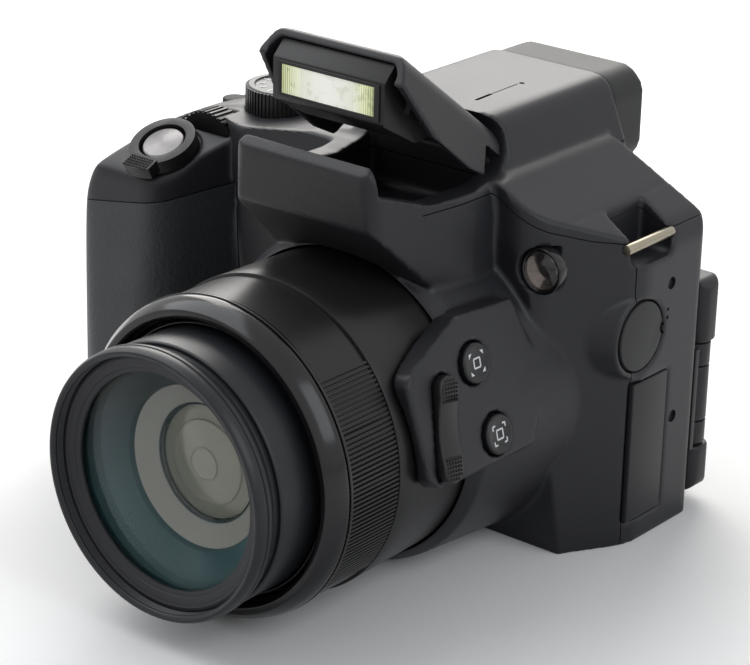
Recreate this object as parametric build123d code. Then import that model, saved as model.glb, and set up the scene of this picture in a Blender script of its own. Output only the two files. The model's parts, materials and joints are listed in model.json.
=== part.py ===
from build123d import *
import math
import os

# A bridge camera with a long zoom lens, a raised flash and a swing-out screen.
# Millimetres. X runs to the side that carries the screen hinge, Y runs from the lens
# to the eyepiece and Z runs up. The origin is the mouth of the tripod socket.
# Lengths called ahead run forward from the body's front plane, lengths called behind run back.

# Overall
socket_behind = 14.0
front_y = -socket_behind
grip_side = 84.0
hinge_side = 43.2
body_behind = 38.0
lens_height = 33.5
hump_height = 91.0
wall = 2.0
seam = 0.2
overrun = 6.0
fit_gap = 0.1
slide_gap = 0.3
pin_gap = 0.05

# Core of the body
core_lean_low = 1.0
core_lean_high = -7.5
core_lean_height = 68.0
core_front_radius = 9.0
core_side_radius = 13.0
core_rear_radius = 3.0
core_top = 81.0
core_corner_height = 66.5
core_corner_radius = 8.0
core_crown_half = 21.0
core_grip_top = 77.0
core_grip_radius = 27.0
grip_lean = 6.8
grip_lean_height = 16.0
rear_top_slope = 5.0
rear_top_radius = 7.0

# Grip
grip_nose_ahead = 24.0
grip_corner_radius = 14.0
grip_nose_radius = 16.0
grip_nose_x = -59.0
grip_rear_radius = 11.0
grip_crown_radius = 26.5
grip_root_x = -46.0
grip_root_radius = 7.0
grip_inner_x = -38.0
grip_draft_top = 2.5
deck_low_height = 65.5
skin_drop_left = 11.0
skin_drop_right = 5.0
skin_high_left = deck_low_height - skin_drop_left
skin_high_right = deck_low_height - skin_drop_right
deck_break_ahead = -3.0
deck_high_height = 77.5
deck_dome_radius = 9.0
skin = 1.3
skin_low = 3.0
skin_behind = 24.0

# Hump, its crest over the lens and its side flanks
hump_top_half = 15.6
hump_mid_half = 21.0
hump_mid_height = 78.0
hump_base_half = 24.5
hump_base_height = 62.0
hump_top_radius = 5.0
crest_ahead = 41.7
crest_half = 17.6
crest_low = 76.6
crest_high = 88.0
crest_lean = 0.8
crest_thick = 2.4
crest_corner_radius = 4.0
brow_root_ahead = 25.0
brow_root_height = 62.0
flank_half = 21.5
flank_ahead = 14.0
rim_low_height = 80.0
rim_rear_height = 79.5
rim_front_height = 84.5
rim_mid_ahead = 26.0

# Shroud round the lens and the raised control plate on its side
shroud_ahead = 28.0
shroud_lip_ahead = 25.0
shroud_lip_radius = 33.0
shroud_radius = 34.8
shroud_root_radius = 37.0
lens_bore = 32.5
plate_tilt = 14.0
plate_reach = 35.5
plate_back_reach = 30.0
plate_clear = 33.2
plate_clear_ahead = 28.2
plate_edge = 1.5
plate_shares = [(-30.0, 19.0), (-46.2, 11.6), (-47.4, 9.4), (-45.2, -9.4), (-43.4, -11.4), (-36.0, -12.2),
                (-12.0, -12.2), (-6.0, 0.0), (-12.0, 18.0)]
plate_share_size = 1.0

# Lens, turned about its own axis
base_ahead = 49.6
base_start_ahead = 20.0
base_radius = 32.8
base_root_radius = 32.1
sleeve_radius = 31.3
sleeve_bore = 30.6
sleeve_behind = 5.0
sleeve_flange_radius = 32.3
sleeve_flange_behind = 3.0
bore_behind = 5.2
ring_ahead = 64.0
ring_radius = 32.7
rib_pitch = 0.95
rib_depth = 0.5
rib_start_angle = -38.0
rib_end_angle = 44.0
bezel_ahead = 68.9
bezel_bore = 28.1
bezel_face_radius = 30.7
bezel_bevel_radius = 32.0
bezel_bevel_ahead = 66.9
cam_radius = 30.3
cam_bore = 28.2
cam_ahead = 61.5
cam_behind = 4.0
middle_radius = 27.85
middle_bore = 27.25
middle_ahead = 66.2
middle_length = 42.0
front_radius = 26.95
front_bore = 25.4
front_ahead = 77.0
front_length = 46.0
rim_radius = 27.4
rim_ahead = 83.8
rim_flange_ahead = 80.4
rim_groove_radius = 26.2
rim_groove_ahead = 78.6
rim_mouth_radius = 25.5
rim_shelf_ahead = 80.6
name_ring_ahead = 81.4
name_ring_face_radius = 24.5
name_ring_inner_ahead = 80.3
name_ring_bore = 21.7
name_ring_seat_ahead = 79.6
name_ring_seat_radius = 23.8
shelf_radius = 24.0
rim_face_radius = 26.9
rim_side_ahead = 82.6
glass_radius = 23.7
glass_edge_ahead = 79.0
glass_crown = 2.8
cell_rear_ahead = 62.0
cell_front_ahead = 76.9
cell_step_ahead = 64.6
cell_mouth_radius = 22.5
cell_step_radius = 17.0
cell_bore = 14.0
inner_edge_ahead = 64.2
inner_crown = 2.2

# Flash
flash_hinge_ahead = 5.5
flash_hinge_height = 86.5
flash_open_degrees = 36.3
lid_rear_radius = 6.0
lid_wall = 1.4
lid_front_gap = 0.3
head_half = 13.9
head_window_ahead = 33.8
head_low = 96.0
head_high = 104.4
head_brow_ahead = 30.2
head_brow_height = 108.0
head_rear_ahead = 14.0
head_rear_high = 96.3
head_rear_low = 91.5
head_back_ahead = 24.0
head_back_low = 90.5
head_corner_radius = 0.8
window_half = 11.7
window_low = 97.4
window_high = 103.5
window_thick = 1.4
window_proud = 0.2
reflector_deep = 5.2
reflector_wall = 0.5
reflector_inset = 0.6
tube_radius = 1.2
arm_thick = 1.2
arm_width = 4.4
arm_ahead = 27.0
arm_height = 99.0
pin_radius = 1.0
ear_inner = 12.3
ear_outer = 13.6
ear_radius = 2.2
well_floor_height = 70.5
well_lip_height = 78.5
well_floor_ahead = 28.0
well_rear_ahead = 1.0
well_half = 15.2

# Viewfinder
eyecup_half = 17.3
eyecup_low = 69.5
eyecup_high = 90.6
eyecup_behind = 50.0
eyecup_radius = 6.0
eyecup_wall = 3.0
eyecup_floor = 2.0
eyepiece_behind = 37.4
eyepiece_half = 9.5
eyepiece_low = 74.5
eyepiece_high = 86.0
eyepiece_thick = 2.6
finder_thick = 2.0
finder_behind = 12.0
finder_half = 8.0
finder_low = 75.0
finder_high = 85.5
finder_front_behind = 3.0

# Top controls
shutter_x = -62.0
shutter_ahead = 13.2
shutter_radius = 4.9
shutter_cap = 2.2
shutter_skirt = 1.2
shutter_crown = 0.5
shutter_stem = 2.0
shutter_foot = 3.8
shutter_sink = 5.0
lever_radius = 7.4
lever_bore = 5.3
lever_rise = 2.6
lever_sink = 0.7
lever_tab_reach = 9.9
lever_tab_start = 6.2
lever_tab_half = 3.6
lever_tab_low = 0.4
lever_tab_rise = 3.1
lever_tab_angle = 272.0
wheel_x = -57.4
wheel_ahead = 2.6
wheel_height = 68.2
wheel_radius = 9.0
wheel_length = 5.4
wheel_teeth = 40
wheel_tooth = 0.35
axle_radius = 1.2
axle_reach = 1.8
mode_x = -47.5
mode_behind = 9.5
mode_radius = 9.0
mode_low = 77.0
mode_high = 82.4
mode_teeth = 60
mode_tooth = 0.3
mode_spindle = 2.2
mode_spindle_low = 72.0
power_x = -63.0
power_behind = 10.0
power_radius = 2.7
power_top = 75.9
power_low = 71.0

# Side controls on the plate
seek_ahead = 26.9
seek_up = 8.9
lock_ahead = 23.5
lock_up = -6.6
side_button_radius = 4.1
side_button_rise = 0.9
side_button_sink = 3.2
side_button_root = 33.4
rocker_ahead = 38.4
rocker_up = -1.0
rocker_length = 21.0
rocker_width = 5.6
rocker_lean_degrees = 9.0
rocker_rise = 1.7
rocker_root = 33.7
rocker_dish = 0.8
rocker_dish_radius = 26.0

# Lamp and microphone cap
lamp_x = 32.0
lamp_height = 63.6
lamp_radius = 4.7
lamp_ahead = 5.6
lamp_depth = 4.0
lamp_crown = 0.9
cap_behind = 15.5
cap_height = 46.5
cap_radius = 7.4
cap_thick = 2.2
cap_face = 43.0
cap_ring = 1.3
cap_cone_radius = 12.5
cap_cone_root = 35.0
jack_radius = 3.4
jack_bore = 1.75
jack_length = 8.0
jack_deep = 6.5

# Strap bars in their recesses
strap_behind = 18.5
strap_drop = 0.5
strap_height = core_corner_height - strap_drop
strap_bar_radius = 1.1
strap_span = 13.0
strap_recess_high = 8.0
strap_recess_deep = 8.6
strap_bar_inset = 1.9
strap_grip_deep = 17.5
strap_grip_inset = 10.5
strap_bar_end = 1.5

# Screen
screen_left = -33.0
screen_low = 3.2
screen_high = 51.4
screen_behind = 38.6
screen_thick = 7.4
screen_end_radius = 3.2
screen_corner_radius = 3.0
screen_notch_low = 13.5
screen_notch_high = 37.5
screen_notch_x = 34.6
pivot_x = 39.2
pivot_behind = 42.2
pivot_radius = 1.2
knuckle_radius = 3.3
knuckle_low = 14.0
knuckle_split_low = 19.0
knuckle_split_high = 32.0
knuckle_high = 37.0
leaf_thick = 1.5
leaf_left = 35.0
arm_half_thick = 1.6
relief_depth = 1.4
glass_border = 4.0
screen_glass_thick = 1.0

# Rear controls
rear_dial_x = -59.0
rear_dial_height = 27.0
rear_dial_radius = 11.0
rear_dial_bore = 5.6
rear_dial_thick = 2.2
rear_dial_teeth = 60
rear_dial_tooth = 0.3
set_radius = 5.2
set_root = 34.4
set_rise = 1.3
rear_button_radius = 3.1
rear_button_rise = 0.9
rear_button_root = 35.6
play_x = -71.5
play_height = 41.5
menu_x = -45.0
menu_height = 10.5
movie_x = -45.0
movie_height = 60.0
rest_x = -60.5
rest_height = 51.5
rest_half = 9.5
rest_high_half = 6.0
rest_thick = 1.4

# Base, door and socket
base_thick = 2.2
base_inset = 3.0
screw_inset = 4.5
socket_radius = 3.0
socket_outer_radius = 5.5
socket_length = 6.5
socket_end = 1.0
socket_flange_radius = 7.5
socket_flange_thick = 1.2
door_left = -78.0
door_right = -52.0
door_ahead = 7.0
door_behind = 21.0
door_thick = 1.8
door_pin_radius = 0.7
door_pin_height = 1.1
door_pin_behind = 19.9
door_pin_reach = 1.5
door_lift = 0.2
door_corner = 3.0

# Terminal door on the hinge side
terminal_front_behind = 13.2
terminal_rear_behind = 26.0
terminal_low = 5.0
terminal_high = 36.5
terminal_thick = 1.5
terminal_pocket = 5.0
terminal_block_reach = 40.9
terminal_block_root = 38.4
socket_hole_deep = 3.0
socket_hole_half = 3.6
socket_hole_high = 2.6
socket_hole_heights = [13.0, 20.5, 28.0]
socket_hole_size = 1.0

# Inner parts
cavity_right = 39.5
cavity_left = -77.6
cavity_front_behind = 4.0
cavity_chamfer = 13.0
cavity_side_high = 61.0
cavity_behind = 35.5
cavity_low = 4.5
cavity_high = 72.0
grip_cavity_ahead = 17.0
grip_cavity_right = -48.8
grip_cavity_nose_x = -58.6
grip_cavity_high = 52.0
hump_cavity_half = 12.4
hump_cavity_high = 88.6
chassis_thick = 1.2
chassis_left = -39.2
chassis_right = 26.8
chassis_behind = 5.2
chassis_window = 7.0
sensor_width = 11.0
sensor_height_size = 9.0
sensor_thick = 1.6
board_thick = 1.2
board_behind = 34.0
board_left = -36.0
board_right = 34.0
board_low = 6.5
board_high = 58.0
battery_left = -75.7
battery_right = -57.7
battery_ahead = 6.0
battery_behind = 20.0
battery_low = 5.4
battery_high = 49.0
card_left = -56.6
card_right = -54.5
card_ahead = 4.0
card_low = 5.4
card_high = 37.0
box_wall = 1.0
box_foot = 1.7
housing_half = 12.2
housing_low = 72.3
housing_high = 88.4
housing_front_behind = 9.0
housing_rear_behind = 35.3
housing_window = 9.6
screw_radius = 1.1
screw_head_radius = 1.9
screw_head = 0.9
screw_length = 3.9
screw_sunk = 0.1


def ahead(distance):
    """The y of a place that lies forward of the body's front plane."""
    return front_y - distance


def behind(distance):
    """The y of a place that lies behind the body's front plane."""
    return front_y + distance


def outline(points, radii):
    """A closed face with a radius at each corner, in its own two axes."""
    return make_face(FilletPolyline(*points, radius=radii, close=True))


def slab(low, high):
    """A box between two corners."""
    size = [high[i] - low[i] for i in range(3)]
    middle = [(high[i] + low[i]) / 2 for i in range(3)]
    return Pos(*middle) * Box(*size)


def along_y(points, radii, low_y, high_y):
    """A prism whose outline lies in X and Z."""
    face = outline(points, radii)
    prism = extrude(face, amount=high_y - low_y)
    return Pos(0, high_y, 0) * Rot(90, 0, 0) * prism


def along_x(points, radii, low_x, high_x):
    """A prism whose outline lies in Y and Z."""
    face = outline(points, radii)
    prism = extrude(face, amount=high_x - low_x)
    return Pos(low_x, 0, 0) * (Plane.YZ * prism)


def along_z(points, radii, low_z, high_z):
    """A prism whose outline lies in X and Y."""
    face = outline(points, radii)
    return Pos(0, 0, low_z) * extrude(face, amount=high_z - low_z)


def rod_x(radius, low_x, high_x, y, z):
    """A rod along X."""
    return Pos((low_x + high_x) / 2, y, z) * Rot(0, 90, 0) * Cylinder(radius, high_x - low_x)


def rod_y(radius, low_y, high_y, x, z):
    """A rod along Y."""
    return Pos(x, (low_y + high_y) / 2, z) * Rot(90, 0, 0) * Cylinder(radius, high_y - low_y)


def rod_z(radius, low_z, high_z, x, y):
    """A rod along Z."""
    return Pos(x, y, (low_z + high_z) / 2) * Cylinder(radius, high_z - low_z)


def turned(points):
    """A solid turned about the lens axis from points of radius and distance ahead."""
    profile = make_face(Polyline(*[(radius, ahead(reach)) for radius, reach in points], close=True))
    return Pos(0, 0, lens_height) * revolve(profile, Axis.Y)


def save(name, shape):
    """Writes one node's file, one solid for each separate piece."""
    solids = shape.solids()
    shape = solids[0] if len(solids) == 1 else Compound(children=list(solids))
    export_step(shape, os.path.join("parts", name + ".step"))
    print(name, len(solids), round(sum(s.volume for s in solids)))


def core():
    """The block behind the lens: plan, front and side outlines cut from one another."""
    left, right, rear = -grip_side, hinge_side, behind(body_behind)
    front = ahead(-core_lean_high)
    top = hump_height
    plan = along_z(
        [(left, rear), (left, front + grip_corner_radius), (grip_root_x, front),
         (right - core_side_radius, front),
         (right, front + core_side_radius + core_front_radius), (right, rear)],
        [grip_rear_radius, grip_rear_radius, grip_root_radius, core_front_radius, core_side_radius,
         core_rear_radius], 0, top)
    face = along_y(
        [(left, 0), (right, 0), (right, core_corner_height), (core_crown_half, core_top),
         (-core_crown_half, core_top), (grip_root_x, core_grip_top),
         (left + grip_lean, core_grip_top), (left, grip_lean_height)],
        [0, 0, core_corner_radius, core_corner_radius, core_corner_radius, core_corner_radius,
         core_grip_radius, 0], front - overrun, rear + overrun)
    side = along_x(
        [(ahead(-core_lean_low), 0), (ahead(-core_lean_high), core_lean_height),
         (ahead(-core_lean_high), top), (rear - rear_top_slope, top), (rear - rear_top_slope, core_top),
         (rear, core_corner_height), (rear, 0)],
        [0, core_corner_radius, 0, 0, 0, rear_top_radius, 0], left - overrun, right + overrun)
    return plan & face & side


def grip_plan(inset):
    """The grip's outline seen from above, drawn in by the thickness of the skin."""
    left = -grip_side + inset
    nose = ahead(grip_nose_ahead) + inset
    return ([(left, behind(skin_behind)), (left, nose), (grip_nose_x - inset, nose),
             (grip_root_x - inset, ahead(0)), (grip_inner_x, behind(grip_root_radius)),
             (grip_inner_x, behind(skin_behind))],
            [0, grip_corner_radius - inset, grip_nose_radius - inset, grip_root_radius, 0, 0])


def grip(inset):
    """The hand grip, with its sloping deck under the shutter button."""
    points, radii = grip_plan(inset)
    body = along_z(points, radii, 0, hump_height)
    nose = ahead(grip_nose_ahead) + inset
    side = along_x(
        [(nose, 0), (nose + grip_draft_top, deck_low_height - deck_dome_radius / 2),
         (nose + grip_draft_top, deck_low_height), (ahead(deck_break_ahead), deck_high_height),
         (behind(skin_behind), deck_high_height), (behind(skin_behind), 0)],
        [0, 0, 0, deck_dome_radius, 0, 0], -grip_side - overrun, grip_inner_x + overrun)
    front = along_y(
        [(-grip_side + inset, 0), (grip_inner_x, 0), (grip_inner_x, deck_high_height),
         (-grip_side + grip_lean + inset, deck_high_height), (-grip_side + inset, grip_lean_height)],
        [0, 0, 0, grip_crown_radius, 0], nose - overrun, behind(skin_behind) + overrun)
    return body & side & front


def hump(inset):
    """The hump over the lens axis, from the crest to the eyepiece, flash lid closed."""
    rear = behind(body_behind) + rear_button_rise
    face = along_y(
        [(-hump_base_half + inset, hump_base_height), (hump_base_half - inset, hump_base_height),
         (hump_mid_half - inset, hump_mid_height), (hump_top_half - inset, hump_height - inset),
         (-hump_top_half + inset, hump_height - inset), (-hump_mid_half + inset, hump_mid_height)],
        [0, 0, hump_top_radius, hump_top_radius, hump_top_radius, hump_top_radius],
        ahead(crest_ahead + overrun), rear)
    side = along_x(
        [(ahead(crest_ahead - crest_lean) + inset, crest_low), (ahead(crest_ahead) + inset, crest_high),
         (ahead(crest_ahead - crest_corner_radius) + inset, hump_height - inset),
         (rear, hump_height - inset), (rear, brow_root_height),
         (ahead(brow_root_ahead), brow_root_height)],
        [crest_lean, crest_lean, crest_corner_radius, 0, 0, 0],
        -hump_base_half - overrun, hump_base_half + overrun)
    plan = along_z(
        [(-crest_half + inset, ahead(crest_ahead) + inset),
         (crest_half - inset, ahead(crest_ahead) + inset),
         (flank_half - inset, ahead(flank_ahead)), (hump_base_half - inset, rear),
         (-hump_base_half + inset, rear), (-flank_half + inset, ahead(flank_ahead))],
        [crest_corner_radius, crest_corner_radius, crest_corner_radius, 0, 0, crest_corner_radius],
        brow_root_height, hump_height + overrun)
    return face & side & plan


def lid_region():
    """The space that the closed flash lid takes from the hump."""
    hinge = (ahead(flash_hinge_ahead), flash_hinge_height)
    front = ahead(crest_ahead - crest_thick - lid_front_gap)
    rear = ahead(flash_hinge_ahead - lid_rear_radius)
    cheek = along_x(
        [(front, hump_height + overrun), (front, rim_front_height),
         (ahead(rim_mid_ahead), rim_low_height), (ahead(flash_hinge_ahead + lid_rear_radius),
                                                  rim_rear_height),
         (hinge[0], hinge[1] - lid_rear_radius), (hinge[0], hump_height + overrun)],
        [0, 0, 0, 0, 0, 0], -hump_base_half - overrun, hump_base_half + overrun)
    heel = rod_x(lid_rear_radius, -hump_base_half - overrun, hump_base_half + overrun, *hinge)
    return cheek + (heel & slab((-hump_base_half - overrun, hinge[0] - overrun, hinge[1]),
                                (hump_base_half + overrun, rear + overrun, hump_height + overrun)))


def lid_clearance():
    """The lid's own space with room round it, cut from the covers."""
    hinge = (ahead(flash_hinge_ahead), flash_hinge_height)
    wide = hump_base_half + overrun
    front = ahead(crest_ahead - crest_thick)
    cheek = along_x(
        [(front, hump_height + overrun), (front, rim_front_height - slide_gap),
         (ahead(rim_mid_ahead), rim_low_height - slide_gap),
         (ahead(flash_hinge_ahead + lid_rear_radius), rim_rear_height - slide_gap),
         (hinge[0], hinge[1] - lid_rear_radius - slide_gap), (hinge[0], hump_height + overrun)],
        [0, 0, 0, 0, 0, 0], -wide, wide)
    return cheek + rod_x(lid_rear_radius + slide_gap, -wide, wide, *hinge)


def flash_well():
    """The open well in front of the flash hinge, where the closed head lies."""
    front, rear = ahead(crest_ahead - crest_thick), ahead(well_rear_ahead)
    return along_x([(front, well_lip_height), (ahead(well_floor_ahead), well_floor_height),
                    (rear, well_floor_height),
                    (rear, hump_height + overrun), (front, hump_height + overrun)],
                   [0, wall, wall, 0, 0], -well_half, well_half)


def shroud():
    """The tube of the front cover that the lens base grows out of."""
    tube = turned([(0, 0), (0, shroud_ahead), (shroud_lip_radius, shroud_ahead),
                   (shroud_radius, shroud_lip_ahead), (shroud_root_radius, core_lean_high),
                   (shroud_root_radius, -cavity_behind / 2), (0, -cavity_behind / 2)])
    return tube & slab((-grip_side, ahead(base_ahead), 0), (hinge_side, behind(body_behind), hump_height))


def on_plate(shape):
    """Turns a shape drawn about the lens axis so that its X stands square to the control plate."""
    return Pos(0, 0, lens_height) * Rot(0, -plate_tilt, 0) * shape


def plate():
    """The raised control plate on the side of the shroud."""
    points = [(front_y + y * plate_share_size, z * plate_share_size) for y, z in plate_shares]
    radii = [plate_edge] * len(points)
    flat = along_x(points, radii, plate_back_reach, plate_reach)
    return on_plate(flat) & slab((0, ahead(base_ahead), 0),
                                 (hinge_side, behind(body_behind), hump_height))


def lens_space():
    """What the lens takes out of the front cover."""
    return (rod_y(lens_bore, ahead(rim_ahead), behind(bore_behind), 0, lens_height)
            + rod_y(plate_clear, ahead(rim_ahead), ahead(plate_clear_ahead), 0, lens_height))


def cap_cone():
    """The raised cone round the microphone cap."""
    cone = Cone(cap_cone_radius, cap_radius + cap_ring, cap_face - cap_cone_root - seam)
    middle = (cap_face + cap_cone_root - seam) / 2
    return Pos(middle, behind(cap_behind), cap_height) * Rot(0, 90, 0) * cone


def cavity():
    """The room for the inner parts."""
    front, rear = behind(cavity_front_behind), behind(cavity_behind)
    main = along_z([(-cavity_right, front), (cavity_right - cavity_chamfer, front),
                    (cavity_right, front + cavity_chamfer), (cavity_right, rear), (-cavity_right, rear)],
                   [0, wall, wall, wall, 0], cavity_low, cavity_side_high)
    middle = slab((-core_crown_half, front, cavity_low), (core_crown_half, rear, cavity_high))
    hand = along_z([(cavity_left, ahead(grip_cavity_ahead)),
                    (grip_cavity_nose_x, ahead(grip_cavity_ahead)),
                    (grip_cavity_right, ahead(0)), (grip_cavity_right, rear), (cavity_left, rear)],
                   [grip_rear_radius, wall, 0, 0, grip_rear_radius], cavity_low, grip_cavity_high)
    bridge = slab((grip_cavity_right - overrun, front, cavity_low),
                  (-cavity_right + overrun, rear, grip_cavity_high))
    eye = slab((-hump_cavity_half, behind(finder_front_behind), cavity_high - overrun),
               (hump_cavity_half, rear, hump_cavity_high))
    return main + middle + hand + bridge + eye


def top_region():
    """The space above the seam of the top cover."""
    left, right, high = -grip_side - overrun, hinge_side + overrun, hump_height + overrun
    seam_line = [(left, skin_high_left), (grip_nose_x, skin_high_right),
                 (grip_root_x, core_corner_height - wall),
                 (-core_crown_half, hump_mid_height), (core_crown_half, hump_mid_height),
                 (right - overrun, core_corner_height + wall), (right, core_corner_height - wall)]
    whole = along_y(seam_line + [(right, high), (left, high)], [0] * (len(seam_line) + 2),
                    ahead(crest_ahead + overrun), behind(body_behind + overrun))
    brow = slab((-hump_base_half, ahead(crest_ahead + overrun), 0),
                (hump_base_half, ahead(flank_ahead), high))
    return whole - brow


def strap_recess(side):
    """The pocket round a strap bar; side is 1 at the hinge side and -1 at the grip."""
    x = hinge_side if side > 0 else -grip_side
    middle = behind(strap_behind)
    deep = strap_recess_deep if side > 0 else strap_grip_deep
    low, high = sorted([x - side * deep, x + side * overrun])
    return along_x([(middle - strap_span / 2, strap_height - strap_recess_high / 2),
                    (middle + strap_span / 2, strap_height - strap_recess_high / 2),
                    (middle + strap_span / 2, strap_height + strap_recess_high + overrun),
                    (middle - strap_span / 2, strap_height + strap_recess_high + overrun)],
                   [wall, wall, wall, wall], low, high)


def deck_frame():
    """The place and tilt of the shutter button on the grip's deck."""
    rise = deck_high_height - deck_low_height
    run = grip_nose_ahead - grip_draft_top - deck_break_ahead
    angle = math.degrees(math.atan2(rise, run))
    height = deck_low_height + rise * (grip_nose_ahead - grip_draft_top - shutter_ahead) / run
    return Pos(shutter_x, ahead(shutter_ahead), height) * Rot(angle, 0, 0)


def toothed(radius, teeth, tooth, length):
    """A wheel with small square teeth all round."""
    rim = []
    for i in range(teeth):
        for share, reach in ((0, radius - tooth), (0.15, radius), (0.5, radius), (0.65, radius - tooth)):
            turn = (i + share) * 2 * math.pi / teeth
            rim.append((reach * math.cos(turn), reach * math.sin(turn)))
    return Pos(0, 0, -length / 2) * extrude(make_face(Polyline(*rim, close=True)), amount=length)


def wheel_space():
    """The slot that the front wheel turns in."""
    half = wheel_length / 2 + slide_gap
    slot = rod_y(wheel_radius + 2 * slide_gap, ahead(wheel_ahead + half), ahead(wheel_ahead - half),
                 wheel_x,
                 wheel_height)
    return slot + rod_y(axle_radius + fit_gap, ahead(wheel_ahead + half + axle_reach),
                        ahead(wheel_ahead - half - axle_reach), wheel_x, wheel_height)


def mode_space():
    """The seat of the mode dial."""
    seat = rod_z(mode_radius + slide_gap, mode_low - slide_gap, hump_height + overrun, mode_x,
                 behind(mode_behind))
    return seat + rod_z(mode_spindle + fit_gap, mode_spindle_low - slide_gap, mode_high, mode_x,
                        behind(mode_behind))


def rear_button_places():
    """Names and places of the round buttons on the back."""
    return {"play_button": (play_x, play_height), "menu_button": (menu_x, menu_height),
            "movie_button": (movie_x, movie_height)}


def control_spaces():
    """Every hole that a button, dial or lamp needs in the covers."""
    shutter = deck_frame() * Cylinder(shutter_radius + slide_gap, 2 * shutter_sink)
    lever = deck_frame() * Pos(0, 0, overrun / 2 - wall / 2) * Cylinder(lever_radius + slide_gap, overrun)
    power = rod_z(power_radius + slide_gap, grip_cavity_high, hump_height, power_x, behind(power_behind))
    spaces = shutter + lever + power + wheel_space() + mode_space()
    for y, up in ((seek_ahead, seek_up), (lock_ahead, lock_up)):
        spaces += on_plate(rod_x(side_button_radius + slide_gap, plate_reach - side_button_sink,
                                 plate_reach + overrun, ahead(y), up))
    spaces += on_plate(rocker_outline(slide_gap, plate_reach - side_button_sink, plate_reach + overrun))
    spaces += rod_y(lamp_radius + fit_gap, ahead(lamp_ahead + overrun),
                    ahead(lamp_ahead - lamp_depth - fit_gap),
                    lamp_x, lamp_height)
    spaces += rod_x(cap_radius + slide_gap, cap_face - cap_thick - slide_gap, cap_face + overrun,
                    behind(cap_behind), cap_height)
    spaces += rod_x(jack_radius + fit_gap, cavity_right - overrun, cap_face, behind(cap_behind),
                    cap_height)
    for x, z in rear_button_places().values():
        spaces += rod_y(rear_button_radius + slide_gap, behind(cavity_behind - overrun),
                        behind(body_behind + overrun), x, z)
    spaces += rod_y(rear_dial_radius + slide_gap, behind(body_behind) - rear_dial_thick / 2,
                    behind(body_behind + overrun), rear_dial_x, rear_dial_height)
    spaces += rod_y(rear_dial_bore, behind(cavity_behind - overrun), behind(body_behind), rear_dial_x,
                    rear_dial_height)
    for x in (hinge_side - strap_bar_inset, strap_grip_inset - grip_side):
        spaces += strap_bar(x, strap_bar_radius + pin_gap)
    spaces += rod_x(door_pin_radius + fit_gap, door_left - door_pin_reach, door_right + door_pin_reach,
                    behind(door_pin_behind), door_pin_height)
    spaces += rod_z(socket_outer_radius + fit_gap, -overrun, cavity_low + overrun, 0, 0)
    for x, y in screw_places():
        spaces += rod_z(screw_radius, 0, screw_sunk + screw_head + screw_length, x, y)
    return spaces


def strap_bar(x, radius):
    """One strap bar, its ends let into the covers."""
    reach = strap_span / 2 + strap_bar_end
    return rod_y(radius, behind(strap_behind) - reach, behind(strap_behind) + reach, x, strap_height)


def screw_places():
    """The places of the four base screws."""
    points, _ = base_outline(screw_inset)
    return points


def rocker_outline(grow, low_x, high_x):
    """The rocker's rounded bar, drawn on the plate."""
    half, width = rocker_length / 2 + grow, rocker_width / 2 + grow
    bar = along_x([(-width, -half), (width, -half), (width, half), (-width, half)],
                  [width - fit_gap] * 4, low_x, high_x)
    return Pos(0, ahead(rocker_ahead), rocker_up) * Rot(-rocker_lean_degrees, 0, 0) * bar


def eyepiece_space():
    """The window through the rear of the hump and the eyecup."""
    return slab((-eyepiece_half, behind(cavity_behind - overrun), eyepiece_low),
                (eyepiece_half, behind(eyecup_behind + overrun), eyepiece_high))


def terminal_space():
    """The pocket behind the terminal door, with the door's own opening."""
    face = slab((hinge_side - terminal_thick - slide_gap, behind(terminal_front_behind), terminal_low),
                (hinge_side + overrun, behind(terminal_rear_behind), terminal_high))
    inner = slab((hinge_side - terminal_pocket, behind(terminal_front_behind + wall),
                  terminal_low + wall),
                 (hinge_side, behind(terminal_rear_behind - wall), terminal_high - wall))
    return face + inner


def screen_relief():
    """The shallow step that lets the screen's end swing round its pivot."""
    return slab((screen_notch_x - wall, behind(body_behind - relief_depth), screen_low - wall),
                (hinge_side + overrun, behind(body_behind + overrun), screen_high + wall))


def base_plate_space():
    """The room for the base plate and the battery door."""
    room = along_z(*base_outline(0), -overrun, base_thick + fit_gap)
    return room + slab((door_left - slide_gap, ahead(door_ahead + slide_gap), -overrun),
                       (door_right + slide_gap, behind(door_behind + slide_gap), cavity_low + overrun))


def base_outline(inset):
    """The base plate's outline."""
    left, right = door_right + 2 * wall + inset, cavity_right - base_inset - inset
    low, high = behind(core_side_radius - overrun + inset), behind(cavity_behind - inset)
    return [(left, low), (right, low), (right, high), (left, high)], [wall, core_front_radius, wall, wall]


def covers():
    """The front, top and rear covers, cut from one hollow body along their seams."""
    outer = core() + grip(0) + hump(0) + shroud() + plate() + cap_cone()
    hollow = outer - cavity() - lens_space() - flash_well() - lid_clearance() - control_spaces()
    hollow = hollow - eyepiece_space() - terminal_space() - screen_relief() - base_plate_space()
    hollow = hollow - strap_recess(1) - strap_recess(-1)
    ring = slab((-grip_side - overrun, ahead(grip_nose_ahead + overrun), skin_low),
                (grip_root_x - wall, behind(skin_behind - wall), hump_height))
    ring = ring - grip(skin + fit_gap)
    top = top_region()
    hollow_low = (hollow - ring) - top
    split = behind(terminal_front_behind)
    big = grip_side + overrun
    front_half = slab((-big, ahead(crest_ahead + overrun), -overrun),
                      (big, split - seam / 2, hump_height + overrun))
    rear_half = slab((-big, split + seam / 2, -overrun),
                     (big, behind(eyecup_behind), hump_height + overrun))
    top_cover = (hollow & Pos(0, 0, seam) * top)
    return largest(hollow_low & front_half), largest(top_cover), largest(hollow_low & rear_half)


def largest(shape):
    """The main solid of a cut, without loose crumbs."""
    return max(shape.solids(), key=lambda solid: solid.volume)


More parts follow.
